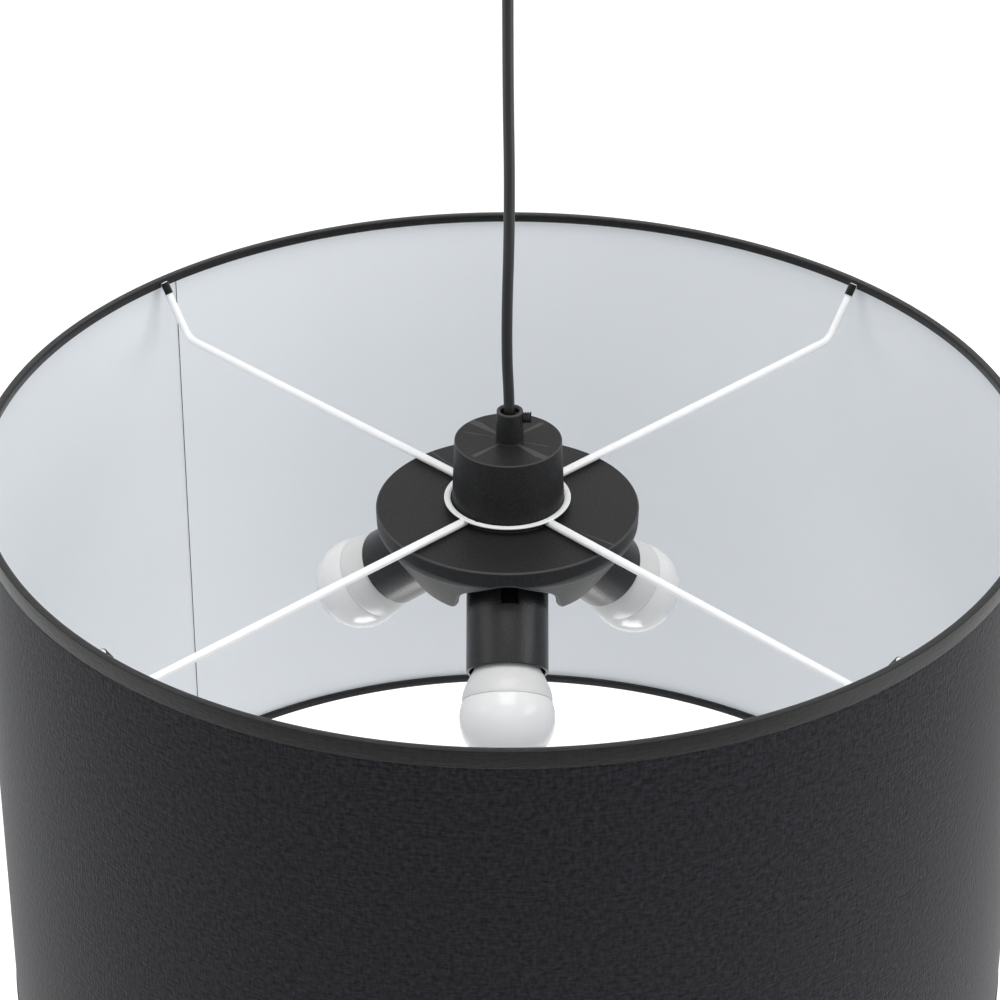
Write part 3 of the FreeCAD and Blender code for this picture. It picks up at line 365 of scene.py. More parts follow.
# %% Bulb and metal finishes
bulb_white = finish("bulb_white", (0.71, 0.704, 0.695), 0.34, Specular_IOR_Level=0.35)
drift(bulb_white, noise(bulb_white, 120, 3), (0.703, 0.697, 0.688), (0.717, 0.711, 0.702))

opal = finish("opal", (0.865, 0.857, 0.846), 0.16, Specular_IOR_Level=0.4, Subsurface_Weight=0.2,
              Subsurface_Scale=0.003, Subsurface_Radius=(1, 1, 1))
drift(opal, noise(opal, 50, 3), (0.859, 0.851, 0.84), (0.871, 0.863, 0.852))

bright_sheet = finish("bright_sheet", (0.7, 0.7, 0.71), 0.3, Metallic=1.0)
roughness_drift(bright_sheet, noise(bright_sheet, 400, 3), 0.22, 0.4)

brass = finish("brass", (0.78, 0.6, 0.28), 0.3, Metallic=1.0)
roughness_drift(brass, noise(brass, 500, 3), 0.25, 0.42)

zinc = finish("zinc", (0.6, 0.61, 0.62), 0.4, Metallic=1.0)
roughness_drift(zinc, noise(zinc, 300, 4), 0.3, 0.55)

carrier_black = finish("carrier_black", (0.03, 0.03, 0.031), 0.55)
grain(carrier_black, noise(carrier_black, 1200, 3), 0.00008)
drift(carrier_black, noise(carrier_black, 90, 3), (0.024, 0.024, 0.025), (0.036, 0.036, 0.037))

terminal_white = finish("terminal_white", (0.75, 0.74, 0.7), 0.5)
drift(terminal_white, noise(terminal_white, 200, 3), (0.7, 0.69, 0.65), (0.78, 0.77, 0.73))
print("bulb and metal finishes")

# %% [markdown]
# ## Turned walls
# Nearly all of this lamp is round. A turned piece is an outline of radius and height, spun about
# an axis. The outline's corners are softened first, because no moulded or taped edge is sharp, and
# that small round is what catches the light. Corners left sharp are marked, so the shading breaks
# there. A painted edge highlight is read from point to point, so rows close to the edge keep its line
# narrow.


# %% Outlines and turning
def soften(outline, corners, steps=4):
    """Rounds the numbered corners of a closed outline; corners is {index: radius}."""
    made = []
    count = len(outline)
    for i, (r, z) in enumerate(outline):
        if i not in corners:
            made.append((r, z))
            continue
        here = Vector((r, z))
        before = (Vector(outline[i - 1]) - here).normalized()
        after = (Vector(outline[(i + 1) % count]) - here).normalized()
        half = before.angle(after) / 2
        back = corners[i] / math.tan(half)
        middle = here + (before + after).normalized() * (corners[i] / math.sin(half))
        first = here + before * back - middle
        last = here + after * back - middle
        swing = first.angle_signed(last)
        for k in range(steps + 1):
            turned_by = first.copy()
            turned_by.rotate(Matrix.Rotation(-swing * k / steps, 2))
            made.append(tuple(middle + turned_by))
    return made


def kept_close(outline, near=0.5):
    """Adds rows, near apart, at both ends of long runs, so that a painted edge highlight stays a narrow
    line.
    """
    made = []
    for a, b in zip(outline, outline[1:] + outline[:1]):
        a, b = Vector(a), Vector(b)
        made.append(tuple(a))
        if (b - a).length > 6 * near:
            step = (b - a).normalized() * near
            made += [tuple(p) for p in (a + step, a + step * 2, b - step * 2, b - step)]
    return made


def placed(name, data, at=Matrix()):
    """An object that shows a mesh or a curve at its place."""
    piece = bpy.data.objects.new(name, data)
    piece.matrix_world = at
    scene.collection.objects.link(piece)
    return piece


def finished(name, shape, at, *materials, sharp=28):
    """A piece from a drawn shape; edges that turn by more than sharp degrees keep their crease."""
    bmesh.ops.recalc_face_normals(shape, faces=shape.faces)
    for edge in shape.edges:
        if len(edge.link_faces) == 2 and edge.calc_face_angle(0) > math.radians(sharp):
            edge.smooth = False
    mesh = bpy.data.meshes.new(name)
    shape.to_mesh(mesh)
    shape.free()
    for material in materials:
        mesh.materials.append(material)
    return placed(name, mesh, at)


def turned(name, outline, material, at=Matrix(), steps=160):
    """Spins a closed outline, in millimetres, about Z, and lays cloth coordinates on it in metres."""
    shape = bmesh.new()
    cloth = shape.loops.layers.uv.new("cloth")
    rings = []
    for r, z in outline:
        if r < 1e-6:
            rings.append([shape.verts.new((0, 0, z * MM))])
        else:
            rings.append([shape.verts.new((r * MM * math.cos(2 * math.pi * k / steps),
                                           r * MM * math.sin(2 * math.pi * k / steps), z * MM))
                          for k in range(steps)])
    count = len(outline)
    along = [0.0]
    for i in range(count):
        along.append(along[-1] + (Vector(outline[(i + 1) % count]) - Vector(outline[i])).length * MM)
    for i in range(count):
        a, b = rings[i], rings[(i + 1) % count]
        if len(a) == 1 and len(b) == 1:
            continue
        round_the_axis = max(outline[i][0], outline[(i + 1) % count][0]) * MM * 2 * math.pi
        for k in range(steps):
            n = (k + 1) % steps
            if len(a) == 1:
                face = shape.faces.new((a[0], b[n], b[k]))
                where = [(k, 0), (k + 1, 1), (k, 1)]
            elif len(b) == 1:
                face = shape.faces.new((a[k], a[n], b[0]))
                where = [(k, 0), (k + 1, 0), (k, 1)]
            else:
                face = shape.faces.new((a[k], a[n], b[n], b[k]))
                where = [(k, 0), (k + 1, 0), (k + 1, 1), (k, 1)]
            face.smooth = True
            for loop, (turn, end) in zip(face.loops, where):
                loop[cloth].uv = (round_the_axis * turn / steps, along[i + end])
    return finished(name, shape, at, material)


def stands_for(piece, body, slot, *nodes):
    """The piece takes the place of solid nodes and rides their body; slot, the finish's name, is not
    used.
    """
    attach(piece, body)
    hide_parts(*nodes)


def cut(piece, tools):
    """Takes the tools' shapes out of the piece for good."""
    for tool in tools:
        difference = piece.modifiers.new("cut", "BOOLEAN")
        difference.operation = "DIFFERENCE"
        difference.solver = "EXACT"
        difference.object = tool
    bpy.context.view_layer.update()
    ready = piece.evaluated_get(bpy.context.evaluated_depsgraph_get())
    mesh = bpy.data.meshes.new_from_object(ready)
    piece.modifiers.clear()
    piece.data = mesh
    for tool in tools:
        bpy.data.objects.remove(tool)
    return piece


def block(name, low, high, at=Matrix()):
    """A plain box, used only as a cutting tool, in millimetres."""
    shape = bmesh.new()
    bmesh.ops.create_cube(shape, size=1)
    for vert in shape.verts:
        vert.co = [(low[i] + (vert.co[i] + 0.5) * (high[i] - low[i])) * MM for i in range(3)]
    mesh = bpy.data.meshes.new(name)
    shape.to_mesh(mesh)
    shape.free()
    return placed(name, mesh, at)


def edge_round(piece, width, angle=35, segments=2):
    """A small round on the edges a cut has left."""
    bevel = piece.modifiers.new("edge_round", "BEVEL")
    bevel.width = width * MM
    bevel.segments = segments
    bevel.limit_method = "ANGLE"
    bevel.angle_limit = math.radians(angle)
    bevel.use_clamp_overlap = True
    bevel.harden_normals = False


print("turning helpers ready")

# %% [markdown]
# ## Where things are
# Heights on the hub are counted from the top of its round plate. The three lampholders share one
# carrier that leans a little to the right and is turned a touch, as it is in the picture, and each
# has its own axis, with zero at its mouth.

# %% Places
DROP = 304.8
HUB = Matrix.Translation((0, 0, -DROP * MM))
HOLDERS = {"front": -90, "left": 150, "right": 30}
ARMS = {"front_left": 224.8, "front_right": 313.2, "back_right": 43.85, "back_left": 135.75}
CARRIER_LEAN = 2.52
CARRIER_TURN = 2.26
HOLDER_TILT = 42.17
MOUTH_OUT = 61.57
MOUTH_DOWN = 55.23


def about(axis, degrees):
    """A turn about one axis."""
    return Matrix.Rotation(math.radians(degrees), 4, axis)


def along_holder(name):
    """The holder's own frame: Z out of its mouth, and -X its upper side."""
    carrier = HUB @ about("Y", CARRIER_LEAN) @ about("Z", CARRIER_TURN + HOLDERS[name])
    mouth = Matrix.Translation((MOUTH_OUT * MM, 0, -MOUTH_DOWN * MM))
    return carrier @ mouth @ about("Y", 90 + HOLDER_TILT)


print("mouths at", [[round(v, 4) for v in along_holder(n).translation] for n in HOLDERS])

# %% [markdown]
# ## The shade
# Three layers make the wall: white film inside, cloth outside, and tape over both edges. The film
# meets itself in an overlap at the back left. It swells in by half a millimetre up to there and
# then steps back, and the cut edge shows as a thin dark line.

# %% Lining with its overlap
SHADE_TOP = 30.8
SHADE_FOOT = SHADE_TOP - 297
SHADE_RADIUS = 250
COVER_FACE = 249.6
COVER_BACK = 249.0
LINING_BACK = 248.98
LINING_FACE = 248.4
TAPE = 0.4
OVERLAP = 0.5
OVERLAP_FROM = 118.5
OVERLAP_TO = 133.5
LINING_TURNS = 320
LINING_ROWS = 24


def lining_radius(turn):
    """Inner radius of the film at a turn: it swells in by half a millimetre up to the overlap."""
    if OVERLAP_FROM <= turn <= OVERLAP_TO:
        return LINING_FACE - OVERLAP * (turn - OVERLAP_FROM) / (OVERLAP_TO - OVERLAP_FROM)
    return LINING_FACE


def lining():
    """The film's wall, drawn turn by turn so that the overlap can step in it."""
    even = {round(i * 360 / LINING_TURNS, 4) for i in range(LINING_TURNS)}
    turns = sorted(even | {OVERLAP_FROM, OVERLAP_TO, OVERLAP_TO + 0.01})
    low, high = SHADE_FOOT + TAPE, SHADE_TOP - TAPE
    heights = [low + (high - low) * k / LINING_ROWS for k in range(LINING_ROWS + 1)]
    shape = bmesh.new()
    cloth = shape.loops.layers.uv.new("cloth")
    inner, outer = [], []
    for turn in turns:
        ray = Vector((math.cos(math.radians(turn)), math.sin(math.radians(turn)), 0))
        r = lining_radius(turn)
        inner.append([shape.verts.new(ray * r * MM + Vector((0, 0, h * MM))) for h in heights])
        outer.append([shape.verts.new(ray * LINING_BACK * MM + Vector((0, 0, h * MM)))
                      for h in (low, high)])
    count = len(turns)
    for i in range(count):
        n = (i + 1) % count
        step = turns[i] == OVERLAP_TO
        wall = []
        for k in range(LINING_ROWS):
            wall.append(shape.faces.new((inner[i][k], inner[i][k + 1], inner[n][k + 1], inner[n][k])))
        wall.append(shape.faces.new((outer[i][0], outer[n][0], outer[n][1], outer[i][1])))
        wall.append(shape.faces.new((inner[i][0], inner[n][0], outer[n][0], outer[i][0])))
        wall.append(shape.faces.new((inner[i][-1], outer[i][1], outer[n][1], inner[n][-1])))
        for face in wall:
            face.smooth = True
            face.material_index = 1 if step else 0
            for loop in face.loops:
                ahead = turns[i] if loop.vert in inner[i] or loop.vert in outer[i] else turns[n]
                if n == 0 and ahead == turns[0]:
                    ahead = 360.0
                loop[cloth].uv = (math.radians(ahead) * (LINING_FACE * MM), loop.vert.co.z)
    return finished("lining", shape, HUB, lining_white, cover_cloth, sharp=30)


stands_for(lining(), "shade", "white_liner", "shade_liner")
print("lining", round(SHADE_TOP - SHADE_FOOT), "mm high")

# %% Cloth cover
SHADE_STEPS = 384
cover_outline = [(COVER_BACK, SHADE_FOOT + TAPE), (COVER_FACE, SHADE_FOOT + TAPE),
                 (COVER_FACE, SHADE_TOP - TAPE), (COVER_BACK, SHADE_TOP - TAPE)]
cover = turned("cover", cover_outline, cover_cloth, HUB, steps=SHADE_STEPS)
stands_for(cover, "shade", "dark_fabric", "shade_fabric")
print("cover done")

# %% [markdown]
# ## Edge tape
# The tape is folded over the edge wire: a broad band outside, a rounded shoulder over the wire and
# a narrow leg inside.


# %% Tape over both edges
TAPE_OUTSIDE = 8.5
TAPE_INSIDE = 4
TAPE_HEM = 3.6
TAPE_INNER_FACE = 246
TAPE_INNER_BACK = 246.4


def tape(name, edge, way):
    """Tape over an edge; way is 1 at the top edge, where it hangs down, and -1 at the bottom."""
    def at(below):
        return edge - way * below
    outline = [(SHADE_RADIUS, at(0)), (SHADE_RADIUS, at(TAPE_OUTSIDE)), (COVER_FACE, at(TAPE_OUTSIDE)),
               (COVER_FACE, at(TAPE)), (TAPE_INNER_BACK, at(TAPE)), (TAPE_INNER_BACK, at(TAPE_HEM)),
               (LINING_FACE, at(TAPE_HEM)), (LINING_FACE, at(TAPE_INSIDE)),
               (TAPE_INNER_FACE, at(TAPE_INSIDE)), (TAPE_INNER_FACE, at(0))]
    softened = soften(outline, {0: 0.38, 1: 0.15, 8: 0.38, 9: 0.9})
    return turned(name, softened, tape_cloth, HUB, steps=SHADE_STEPS)


stands_for(tape("top_tape", SHADE_TOP, 1), "shade", "edge_tape", "top_trim")
stands_for(tape("bottom_tape", SHADE_FOOT, -1), "shade", "edge_tape", "bottom_trim")
print("tape on both edges")

# %% [markdown]
# ## The spider
# A flat ring goes round the cup. It has a fine groove and a low lip round its hole, and the lip has
# a gap. Four wires are welded under it, run out nearly level, turn up near the wall and end under
# the tape. A wire is drawn as a curve with a round section, which keeps its bend smooth.


# %% Ring, arms and welds
def wire(name, points, radius, material, at=Matrix(), sides=6):
    """A round wire along points, in millimetres."""
    curve = bpy.data.curves.new(name, "CURVE")
    curve.dimensions = "3D"
    curve.bevel_depth = radius * MM
    curve.bevel_resolution = sides
    curve.use_fill_caps = True
    spline = curve.splines.new("POLY")
    spline.points.add(len(points) - 1)
    for spot, point in zip(points, spline.points):
        point.co = (*[v * MM for v in spot], 1)
    spline.use_smooth = True
    curve.materials.append(material)
    return placed(name, curve, at)


def bent(a, knee, c, radius, steps=10):
    """Two straight runs with a round bend between them."""
    a, knee, c = Vector(a), Vector(knee), Vector(c)
    into, out = (knee - a).normalized(), (c - knee).normalized()
    turn = into.angle(out)
    back = radius * math.tan(turn / 2)
    middle = knee + (out - into).normalized() * (radius / math.cos(turn / 2))
    start = knee - into * back - middle
    axis = into.cross(out).normalized()
    arc = [middle + Matrix.Rotation(turn * k / steps, 3, axis) @ start for k in range(steps + 1)]
    return [a, *arc, c]


ring_outline = [(27.2, 3.8), (30.1, 3.8), (30.1, 4.55), (27.75, 4.55), (27.7, 4.0), (27.6, 4.0),
                (27.55, 4.2), (27.2, 4.2)]
ring = turned("spider_collar", soften(ring_outline, {1: 0.2, 2: 0.25, 3: 0.1}), wire_white, HUB)
LIP_GAP_TURN = -122
collar_gap = block("collar_gap", (26.5, -0.9, 3), (28.0, 0.9, 7), HUB @ about("Z", LIP_GAP_TURN))
stands_for(cut(ring, [collar_gap]), "shade", "white_wire", "spider_ring")
ARM_RADIUS = 2.0
ARM_START = (28, 0, 2.35)
ARM_KNEE = (228.2, 0, 3.2)
ARM_END = (246.2, 0, 29.1)
ARM_BEND = 9
arm_line = bent(ARM_START, ARM_KNEE, ARM_END, ARM_BEND)
for name, turn in ARMS.items():
    arm = wire("spider_wire_" + name, arm_line, ARM_RADIUS, wire_white, HUB @ about("Z", turn))
    stands_for(arm, "shade", "white_wire", "arm_" + name)
arm_length = sum((q - p).length for p, q in zip(arm_line, arm_line[1:]))
print("four arms,", round(arm_length), "mm of wire each")

# %% [markdown]
# ## Hub
# Plate, upright side and skirt are one moulding. Three slanting cuts open the skirt over the
# lampholders and leave three legs. The rim of a cut is square to the wall and rolled over, as a
# mould makes it, so the wall is drawn in columns down to the place where the cut or the foot ends
# it, and the rolled rim is laid along that edge. One half of a cut's edge is a short list of given
# points: degrees off the lampholder's direction, and the height there. It is mirrored, and its
# corners are cut off again and again until the line bends softly.

# %% The wall's outline and where it ends
PLATE_RADIUS = 62.6
PLATE_UNDER = -2.2
SIDE_FOOT_RADIUS = 62.3
SIDE_HEIGHT = 9.2
FOOT_RADIUS = 44.3
FOOT = 35.7
WALL = 1.9
LIP = 1.2
TIP_ROUND = 1.0
CORNER_STEPS = 12
CUT_EDGE = [(0, -7.75), (3.5, -8.1), (8, -10.2), (12.7, -12.9), (17.5, -15.3), (21.5, -18),
            (24.8, -21.8), (27.6, -26.8), (30, -31.5), (36, -37), (60, -60)]
face_outline = [(25.1, 0), (PLATE_RADIUS, 0), (SIDE_FOOT_RADIUS, -SIDE_HEIGHT), (FOOT_RADIUS, -FOOT)]
face_line = soften(face_outline, {1: 0.8, 2: 4.0}, CORNER_STEPS)
rim_line, skirt_line = face_line[:CORNER_STEPS + 2], face_line[CORNER_STEPS + 1:]


def walk(line, far):
    """The point so far along a line of points; past its ends the line runs straight on."""
    last = len(line) - 2
    for i in range(last + 1):
        step = Vector(line[i + 1]) - Vector(line[i])
        if far < step.length or i == last:
            return Vector(line[i]) + step.normalized() * far
        far -= step.length


def rounded_line(line, passes=4):
    """A line of points with its corners cut off again and again, which leaves smooth bends."""
    for _ in range(passes):
        softer = [line[0]]
        for a, b in zip(line, line[1:]):
            softer += [tuple(Vector(a).lerp(Vector(b), share)) for share in (0.25, 0.75)]
        line = softer + [line[-1]]
    return line


whole_edge = [(-turn, z) for turn, z in reversed(CUT_EDGE[1:])] + CUT_EDGE[1:]
half_edge = [p for p in rounded_line(whole_edge) if p[0] >= 0]


def skirt_end(turn):
    """How far down the face the wall ends: at a lampholder's cut or at the foot, eased together."""
    # Degrees off the nearest lampholder; the three stand 120 degrees apart.
    off = abs((math.degrees(turn) + 150) % 120 - 60)
    for (near, z), (far, lower) in zip(half_edge, half_edge[1:]):
        if far >= off:
            break
    edge = z + (lower - z) * max(0.0, off - near) / (far - near)
    low, high = 0.0, 90.0
    for _ in range(40):
        middle = (low + high) / 2
        if walk(skirt_line, middle).y < edge:
            high = middle
        else:
            low = middle
    foot = sum((Vector(b) - Vector(a)).length for a, b in zip(skirt_line, skirt_line[1:]))
    return (low + foot) / 2 - math.hypot((low - foot) / 2, TIP_ROUND)


def on_skirt(turn, far):
    """A place on the outer face with its outward, round and downhill directions."""
    here = walk(skirt_line, far)
    fall = (walk(skirt_line, far + 0.4) - walk(skirt_line, far - 0.4)).normalized()
    c, s = math.cos(turn), math.sin(turn)
    onward = Vector((-s, c, 0))
    downhill = Vector((fall.x * c, fall.x * s, fall.y))
    return Vector((here.x * c, here.x * s, here.y)), downhill.cross(onward), onward, downhill


print("skirt ends", round(skirt_end(math.radians(-90)), 1), "mm below the rim over a lampholder and",
      round(skirt_end(math.radians(-30)), 1), "on a leg")


# %% Plate and skirt
def skin(name, columns, material, at=Matrix()):
    """Joins closed columns of points, in millimetres, side by side into one wall that goes round."""
    shape = bmesh.new()
    grid = [[shape.verts.new([v * MM for v in point]) for point in column] for column in columns]
    rows = len(grid[0])
    for a, b in zip(grid, grid[1:] + grid[:1]):
        for k in range(rows):
            n = (k + 1) % rows
            shape.faces.new((a[k], a[n], b[n], b[k])).smooth = True
    return finished(name, shape, at, material)


STUD_HOLE = 5.3
SPIGOT_IN = 23.6
SPIGOT_OUT = 24.8
SPIGOT_HEIGHT = 3
INNER_START = 1.6
UNDER_RADIUS = 60


def hub_columns(count=480, rows=24, inner_rows=12):
    """The hub's columns: plate, outer face, rolled rim and inner face, back to the plate's underside."""
    turns = [2 * math.pi * k / count for k in range(count)]
    ends = [skirt_end(turn) for turn in turns]
    quarter = [math.radians(15 * k) for k in range(1, 7)]
    lip_line = [(LIP * math.sin(a), LIP * (math.cos(a) - 1)) for a in quarter]
    lip_line += [(LIP, 0.4 - WALL), (LIP - 0.12, 0.12 - WALL), (LIP - 0.4, -WALL)]
    plate = [(STUD_HOLE, PLATE_UNDER), (STUD_HOLE, 0), (SPIGOT_IN, 0), (SPIGOT_IN, SPIGOT_HEIGHT),
             (SPIGOT_OUT, SPIGOT_HEIGHT), *rim_line]
    columns = []
    for i, turn in enumerate(turns):
        radius = walk(skirt_line, ends[i]).x
        slope = (ends[(i + 1) % count] - ends[i - 1]) / (2 * radius * turns[1])
        onward_share, down_share = -slope / math.hypot(1, slope), 1 / math.hypot(1, slope)
        lean = -onward_share * LIP / radius
        last = ends[i] - down_share * LIP
        column = [Vector((r * math.cos(turn), r * math.sin(turn), z)) for r, z in plate]
        for k in range(1, rows + 1):
            column.append(on_skirt(turn + lean * (k / rows) ** 2, last * k / rows)[0])
        place, out, onward, downhill = on_skirt(turn + lean, last)
        away = onward * onward_share + downhill * down_share
        column += [place + away * x + out * y for x, y in lip_line]
        for k in range(inner_rows - 1, -1, -1):
            far = INNER_START + (last - INNER_START) * k / inner_rows
            place, out = on_skirt(turn + lean * (k / inner_rows) ** 2, far)[:2]
            column.append(place - out * WALL)
        column.append(Vector((UNDER_RADIUS * math.cos(turn), UNDER_RADIUS * math.sin(turn), PLATE_UNDER)))
        columns.append(column)
    return columns


hub_shell = skin("hub_shell", hub_columns(), hub_black, HUB)
stands_for(hub_shell, "pendant", "black_moulding", "hub_body")
print("hub shell has", len(hub_shell.data.polygons), "faces")

# %% [markdown]
# ## Cup and cord grip
# The cup covers the hub's wiring. On it stands the grip, a short tube that the cord comes out of,
# with a threaded plastic screw at its side that pinches the cord. One fault is left here: rendered,
# the cup's lid shows a few pale wedges round the grip, where it should be even.

# %% Cup
CUP_TOP = 35.4
CUP_LID_UNDER = 33.4
CUP_SHIFT = 0.35
cup_outline = [(25.2, 0), (26.8, 0), (25.4, CUP_TOP), (0, CUP_TOP), (0, CUP_LID_UNDER),
               (23.8, CUP_LID_UNDER)]
cup_place = HUB @ Matrix.Translation((CUP_SHIFT * MM, 0, 0))
cup = turned("cup", kept_close(soften(cup_outline, {1: 0.25, 2: 0.35}, 5), 0.25), hub_black, cup_place)
stands_for(cup, "pendant", "black_moulding", "hub_cup")
print("cup", CUP_TOP, "mm high")


# %% Grip and its screw
def threaded(name, radius, depth, pitch, low, high, material, at, steps=48, inside=None, lead=0.6):
    """A rod, or with inside a tube's inner wall, with a round thread between two heights."""
    shape = bmesh.new()
    rows = max(8, int((high - low) / pitch * 10))
    grid = []
    for row in range(rows + 1):
        z = low + (high - low) * row / rows
        fade = min(1.0, (z - low) / (lead * pitch), (high - z) / (lead * pitch))
        ring_of = []
        for k in range(steps):
            phase = 2 * math.pi * (z / pitch - k / steps)
            groove = depth * fade * (0.5 - 0.5 * math.cos(phase))
            r = radius - groove if inside is None else radius + groove
            turn = 2 * math.pi * k / steps
            ring_of.append(shape.verts.new((r * MM * math.cos(turn), r * MM * math.sin(turn), z * MM)))
        grid.append(ring_of)
    if inside is not None:
        for z in (high, low):
            grid.append([shape.verts.new((inside * MM * math.cos(2 * math.pi * k / steps),
                                          inside * MM * math.sin(2 * math.pi * k / steps), z * MM))
                         for k in range(steps)])
        grid.append(grid[0])
    for a, b in zip(grid, grid[1:]):
        for k in range(steps):
            n = (k + 1) % steps
            shape.faces.new((a[k], a[n], b[n], b[k])).smooth = True
    if inside is None:
        shape.faces.new(list(reversed(grid[0])))
        shape.faces.new(grid[-1])
    return finished(name, shape, at, material, sharp=50)


GRIP_HEIGHT = 15.9
PIN_HEIGHT = 11.9


def grip(name, body, at):
    """The grip with its shank below, and the side screw."""
    outline = [(4.45, -7.5), (5, -7.5), (5, 0), (6.55, 0), (6.2, GRIP_HEIGHT), (5.05, GRIP_HEIGHT),
               (4.45, 15.3)]
    softened = kept_close(soften(outline, {3: 0.2, 4: 0.35, 5: 0.2}), 0.35)
    tube = turned(name + "_tube", softened, hub_black, at, steps=160)
    stands_for(tube, body, "black_moulding", name)
    pin = threaded(name + "_pin", 2.75, 0.5, 1.15, 2.65, 10.1, holder_black,
                   at @ Matrix.Translation((0, 0, PIN_HEIGHT * MM)) @ about("Y", 90), lead=0.35)
    slot = block("slot", (-0.4, -4, 8.5), (0.4, 4, 11), pin.matrix_world.copy())
    stands_for(cut(pin, [slot]), body, "black_moulding", name + "_screw")


CORD_SHIFT = 1.1
CANOPY_UNDER = -26
grip("hub_grip", "pendant", HUB @ Matrix.Translation((CORD_SHIFT * MM, 0, CUP_TOP * MM)))
grip("canopy_grip", "canopy", Matrix.Translation((0, 0, CANOPY_UNDER * MM)) @ about("Y", 180))
print("two grips")

# %% [markdown]
# ## Lampholders
# Each holder is a plain sleeve with a small window in its upper side, where the core snaps in.
# Inside sit the core, the screw shell with its round thread and the spring contact. Rows of points
# beside the window keep the wall's shading even there.

# %% Three lampholders
HOLDER_RADIUS = 19.35
HOLDER_BORE = 17.95
HOLDER_BACK = -50
HOLDER_FLOOR = -47
NIPPLE_RADIUS = 5.05
ROWS_BY_THE_WINDOW = (-37.2, -28.2, -27.7)
BULB_PITCH = 3.629
sleeve_outline = [(NIPPLE_RADIUS, HOLDER_BACK), (HOLDER_RADIUS, HOLDER_BACK),
                  *[(HOLDER_RADIUS, z) for z in ROWS_BY_THE_WINDOW],
                  (HOLDER_RADIUS, 0), (HOLDER_BORE, 0), (HOLDER_BORE, HOLDER_FLOOR),
                  (NIPPLE_RADIUS, HOLDER_FLOOR)]
sleeve_outline = soften(sleeve_outline, {1: 1.0, 5: 0.4, 6: 0.3})
core_outline = [(0, -37), (14.05, -37), (14.05, -12), (17.9, -12), (17.9, HOLDER_FLOOR),
                (14.9, HOLDER_FLOOR), (14.9, -42), (0, -42)]
core_outline = soften(core_outline, {2: 0.4, 3: 0.4})
for name in HOLDERS:
    at = along_holder(name)
    sleeve = turned("sleeve_" + name, sleeve_outline, holder_black, at, steps=128)
    window = block("window", (-25, -4, -36.7), (-10, 4, -28.7), at)
    edge_round(cut(sleeve, [window]), 0.2)
    stands_for(sleeve, "pendant", "holder_shell", "holder_sleeve_" + name)
    # The core's finish is painted shade, so the window in the sleeve reads dark.
    core = turned("core_" + name, core_outline, core_black_painted_shade, at, steps=96)
    stands_for(core, "pendant", "holder_core", "holder_insert_" + name)
    shell = threaded("screw_shell_" + name, 13.5, 0.35, BULB_PITCH, -34, -14, bright_sheet, at,
                     inside=14.0)
    stands_for(shell, "pendant", "screw_shell", "holder_thread_" + name)
print("three lampholders")

# %% [markdown]
# ## Bulbs
# A globe bulb is a screw cap, a white housing that widens, and an opal globe. The globe sits in the
# housing with a thin joint line, which a narrow gap between the two gives.

# %% Three bulbs
SEAM = 14.2
GLOBE_RADIUS = 22.5
GLOBE_MIDDLE = 22.2
GLOBE_WALL = 1.2
SEAM_GAP = 0.12
CAP_TOP = -10
CAP_FOOT = -30.6


def arc_up(radius, low, steps):
    """Points on a circle about the globe's middle, from a height up to its pole."""
    first = math.asin((low - GLOBE_MIDDLE) / radius)
    turns = [first + (math.pi / 2 - first) * k / steps for k in range(steps)]
    return [(radius * math.cos(a), GLOBE_MIDDLE + radius * math.sin(a)) for a in turns]


def globe_outline():
    """Half a globe's section above the seam, hollow, with a lip that reaches down to the housing."""
    outer = arc_up(GLOBE_RADIUS, SEAM + SEAM_GAP, 40)
    inner = arc_up(GLOBE_RADIUS - GLOBE_WALL, SEAM + SEAM_GAP, 24)
    poles = [(0, GLOBE_MIDDLE + GLOBE_RADIUS), (0, GLOBE_MIDDLE + GLOBE_RADIUS - GLOBE_WALL)]
    lip = [(19.7, SEAM - 0.1), (20.85, SEAM - 0.1)]
    return [(20.85, SEAM + SEAM_GAP), *outer, *poles, *inner[::-1], *lip]


def housing_outline():
    """From the cap out to the seam: a slow flare, then a round shoulder that the globe goes on with."""
    side = [(13.7, CAP_TOP), (13.9, -8), (14.3, -6), (14.85, -4), (15.5, -2), (16.3, 0), (17.55, 2.4),
            (18.8, 5), (19.85, 7.3), (20.75, 10), (21.15, 12.2), (21.25, 13.4),
            (21.15, SEAM - SEAM_GAP - 0.1), (21.0, SEAM - SEAM_GAP), (20.85, SEAM - SEAM_GAP),
            (20.85, SEAM - 0.3)]
    return [(0, CAP_TOP), *side, (0, SEAM - 0.3)]


nose_outline = [(0, -33.2), (5.5, -33.2), (11.8, CAP_FOOT), (0, CAP_FOOT)]
for name in HOLDERS:
    at = along_holder(name)
    body = "bulb_" + name
    globe = turned("globe_" + name, globe_outline(), opal, at, steps=96)
    stands_for(globe, body, "bulb_globe", "bulb_dome_" + name)
    housing = turned("housing_" + name, housing_outline(), bulb_white, at, steps=96)
    stands_for(housing, body, "bulb_housing", "bulb_housing_" + name)
    cap = threaded("cap_" + name, 13.2, 0.9, BULB_PITCH, CAP_FOOT, CAP_TOP, bright_sheet, at, lead=0.8)
    stands_for(cap, body, "cap_metal", "bulb_cap_" + name)
    # The nose shares the core's near-black, which is painted shade.
    nose = turned("nose_" + name, nose_outline, core_black_painted_shade, at, steps=64)
    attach(nose, body)
print("three bulbs")

# %% [markdown]
# ## The cord
# The cord is one length of sheathed cable. It holds the lamp, so it hangs tight, with only the
# slight sway of a cord that was folded in its box. Its curve follows the same points as the solid.

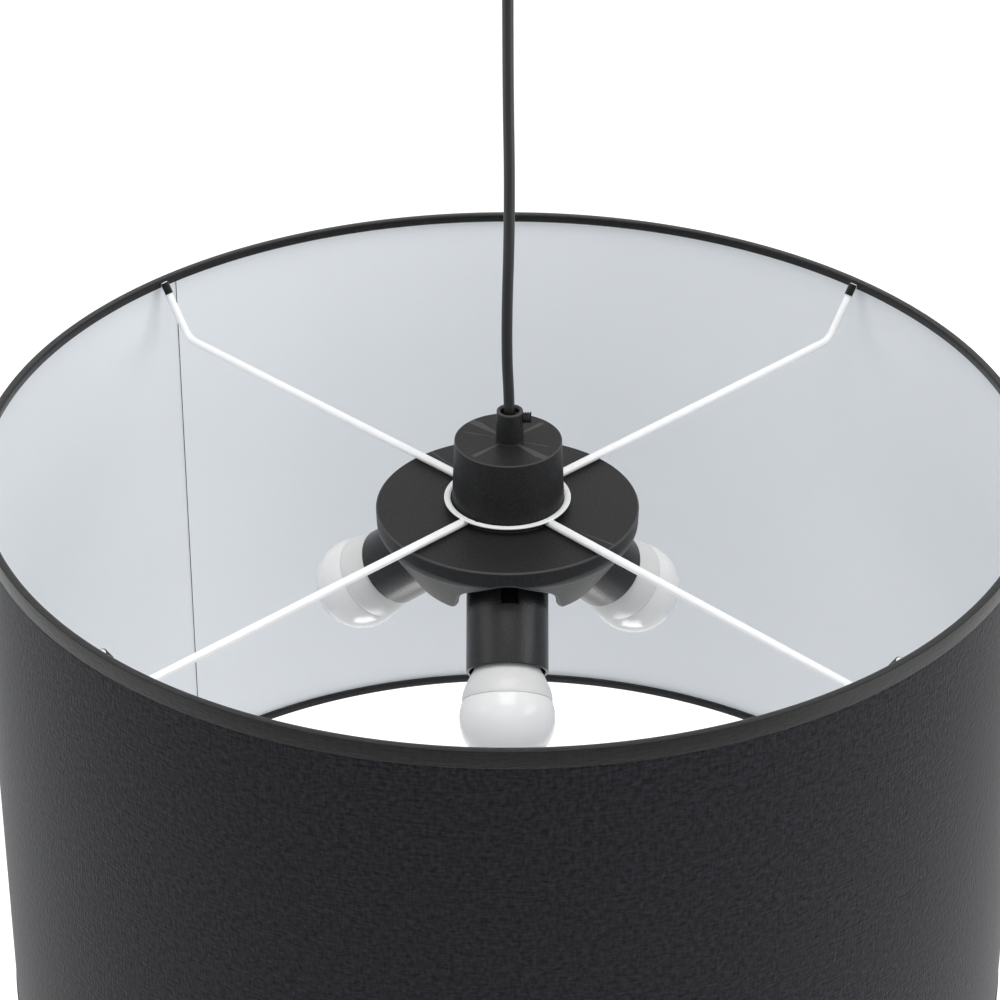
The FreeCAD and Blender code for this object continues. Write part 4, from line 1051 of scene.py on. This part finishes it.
# %% Hang the cord
CORD_RADIUS = 2.575
CORD_POINTS = [(1.1, 19), (1.1, 51.9), (-0.75, 86.9), (1.15, 155.9), (0, 223.9), (0, 289.2)]
cord_curve = bpy.data.curves.new("cord", "CURVE")
cord_curve.dimensions = "3D"
cord_curve.bevel_depth = CORD_RADIUS * MM
cord_curve.bevel_resolution = 8
cord_curve.use_fill_caps = True
cord_curve.resolution_u = 24
spline = cord_curve.splines.new("NURBS")
spline.points.add(len(CORD_POINTS) - 1)
for point, (x, z) in zip(spline.points, CORD_POINTS):
    point.co = (x * MM, 0, (z - DROP) * MM, 1)
spline.order_u = 3
spline.use_endpoint_u = True
cord_curve.materials.append(sheath)
cord = placed("cord", cord_curve)
stands_for(cord, "pendant", "cord_sheath", "suspension_cord")

# %% [markdown]
# ## The ceiling end
# Above the picture the cord ends in a small canopy against the ceiling. It is moulded like the
# hub, as a shallow cup with a rounded foot.

# %% Canopy
canopy_outline = [(5.05, CANOPY_UNDER), (45, CANOPY_UNDER), (50, 0), (48.4, 0), (43.4, -24.4),
                  (5.05, -24.4)]
canopy = turned("canopy_cup", kept_close(soften(canopy_outline, {1: 3.0, 2: 0.3}, 6)), hub_black)
stands_for(canopy, "canopy", "black_moulding", "canopy")
print("canopy done")

# %% [markdown]
# ## Pieces kept from the solid model
# Small fittings inside the hub, the lampholders and the canopy, the edge wires and the tape over
# the arms' ends stay as they were made. They only need their finish.

# %% Finish the kept pieces
KEPT = {"zinc": zinc, "white": terminal_white, "carrier": carrier_black, "black": hub_black,
        "tape": tape_cloth, "wire": wire_white, "brass": brass}
KEPT_NODES = {
    "zinc": ["ceiling_bracket", "canopy_nut", "hub_nut", "cup_screws", "hub_stud", "stud_nut",
             "holder_nipples"],
    "white": ["ceiling_terminal_block", "cup_terminal_block"],
    "carrier": ["holder_carrier"],
    "black": ["carrier_plug"],
    "tape": ["arm_tabs"],
    "wire": ["top_ring", "bottom_ring"],
    "brass": ["holder_contact_" + n for n in HOLDERS] + ["bulb_tip_" + n for n in HOLDERS],
}
for key, names in KEPT_NODES.items():
    for name in names:
        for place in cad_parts[name].material_slots:
            place.material = KEPT[key]
print(sum(len(n) for n in KEPT_NODES.values()), "pieces kept")
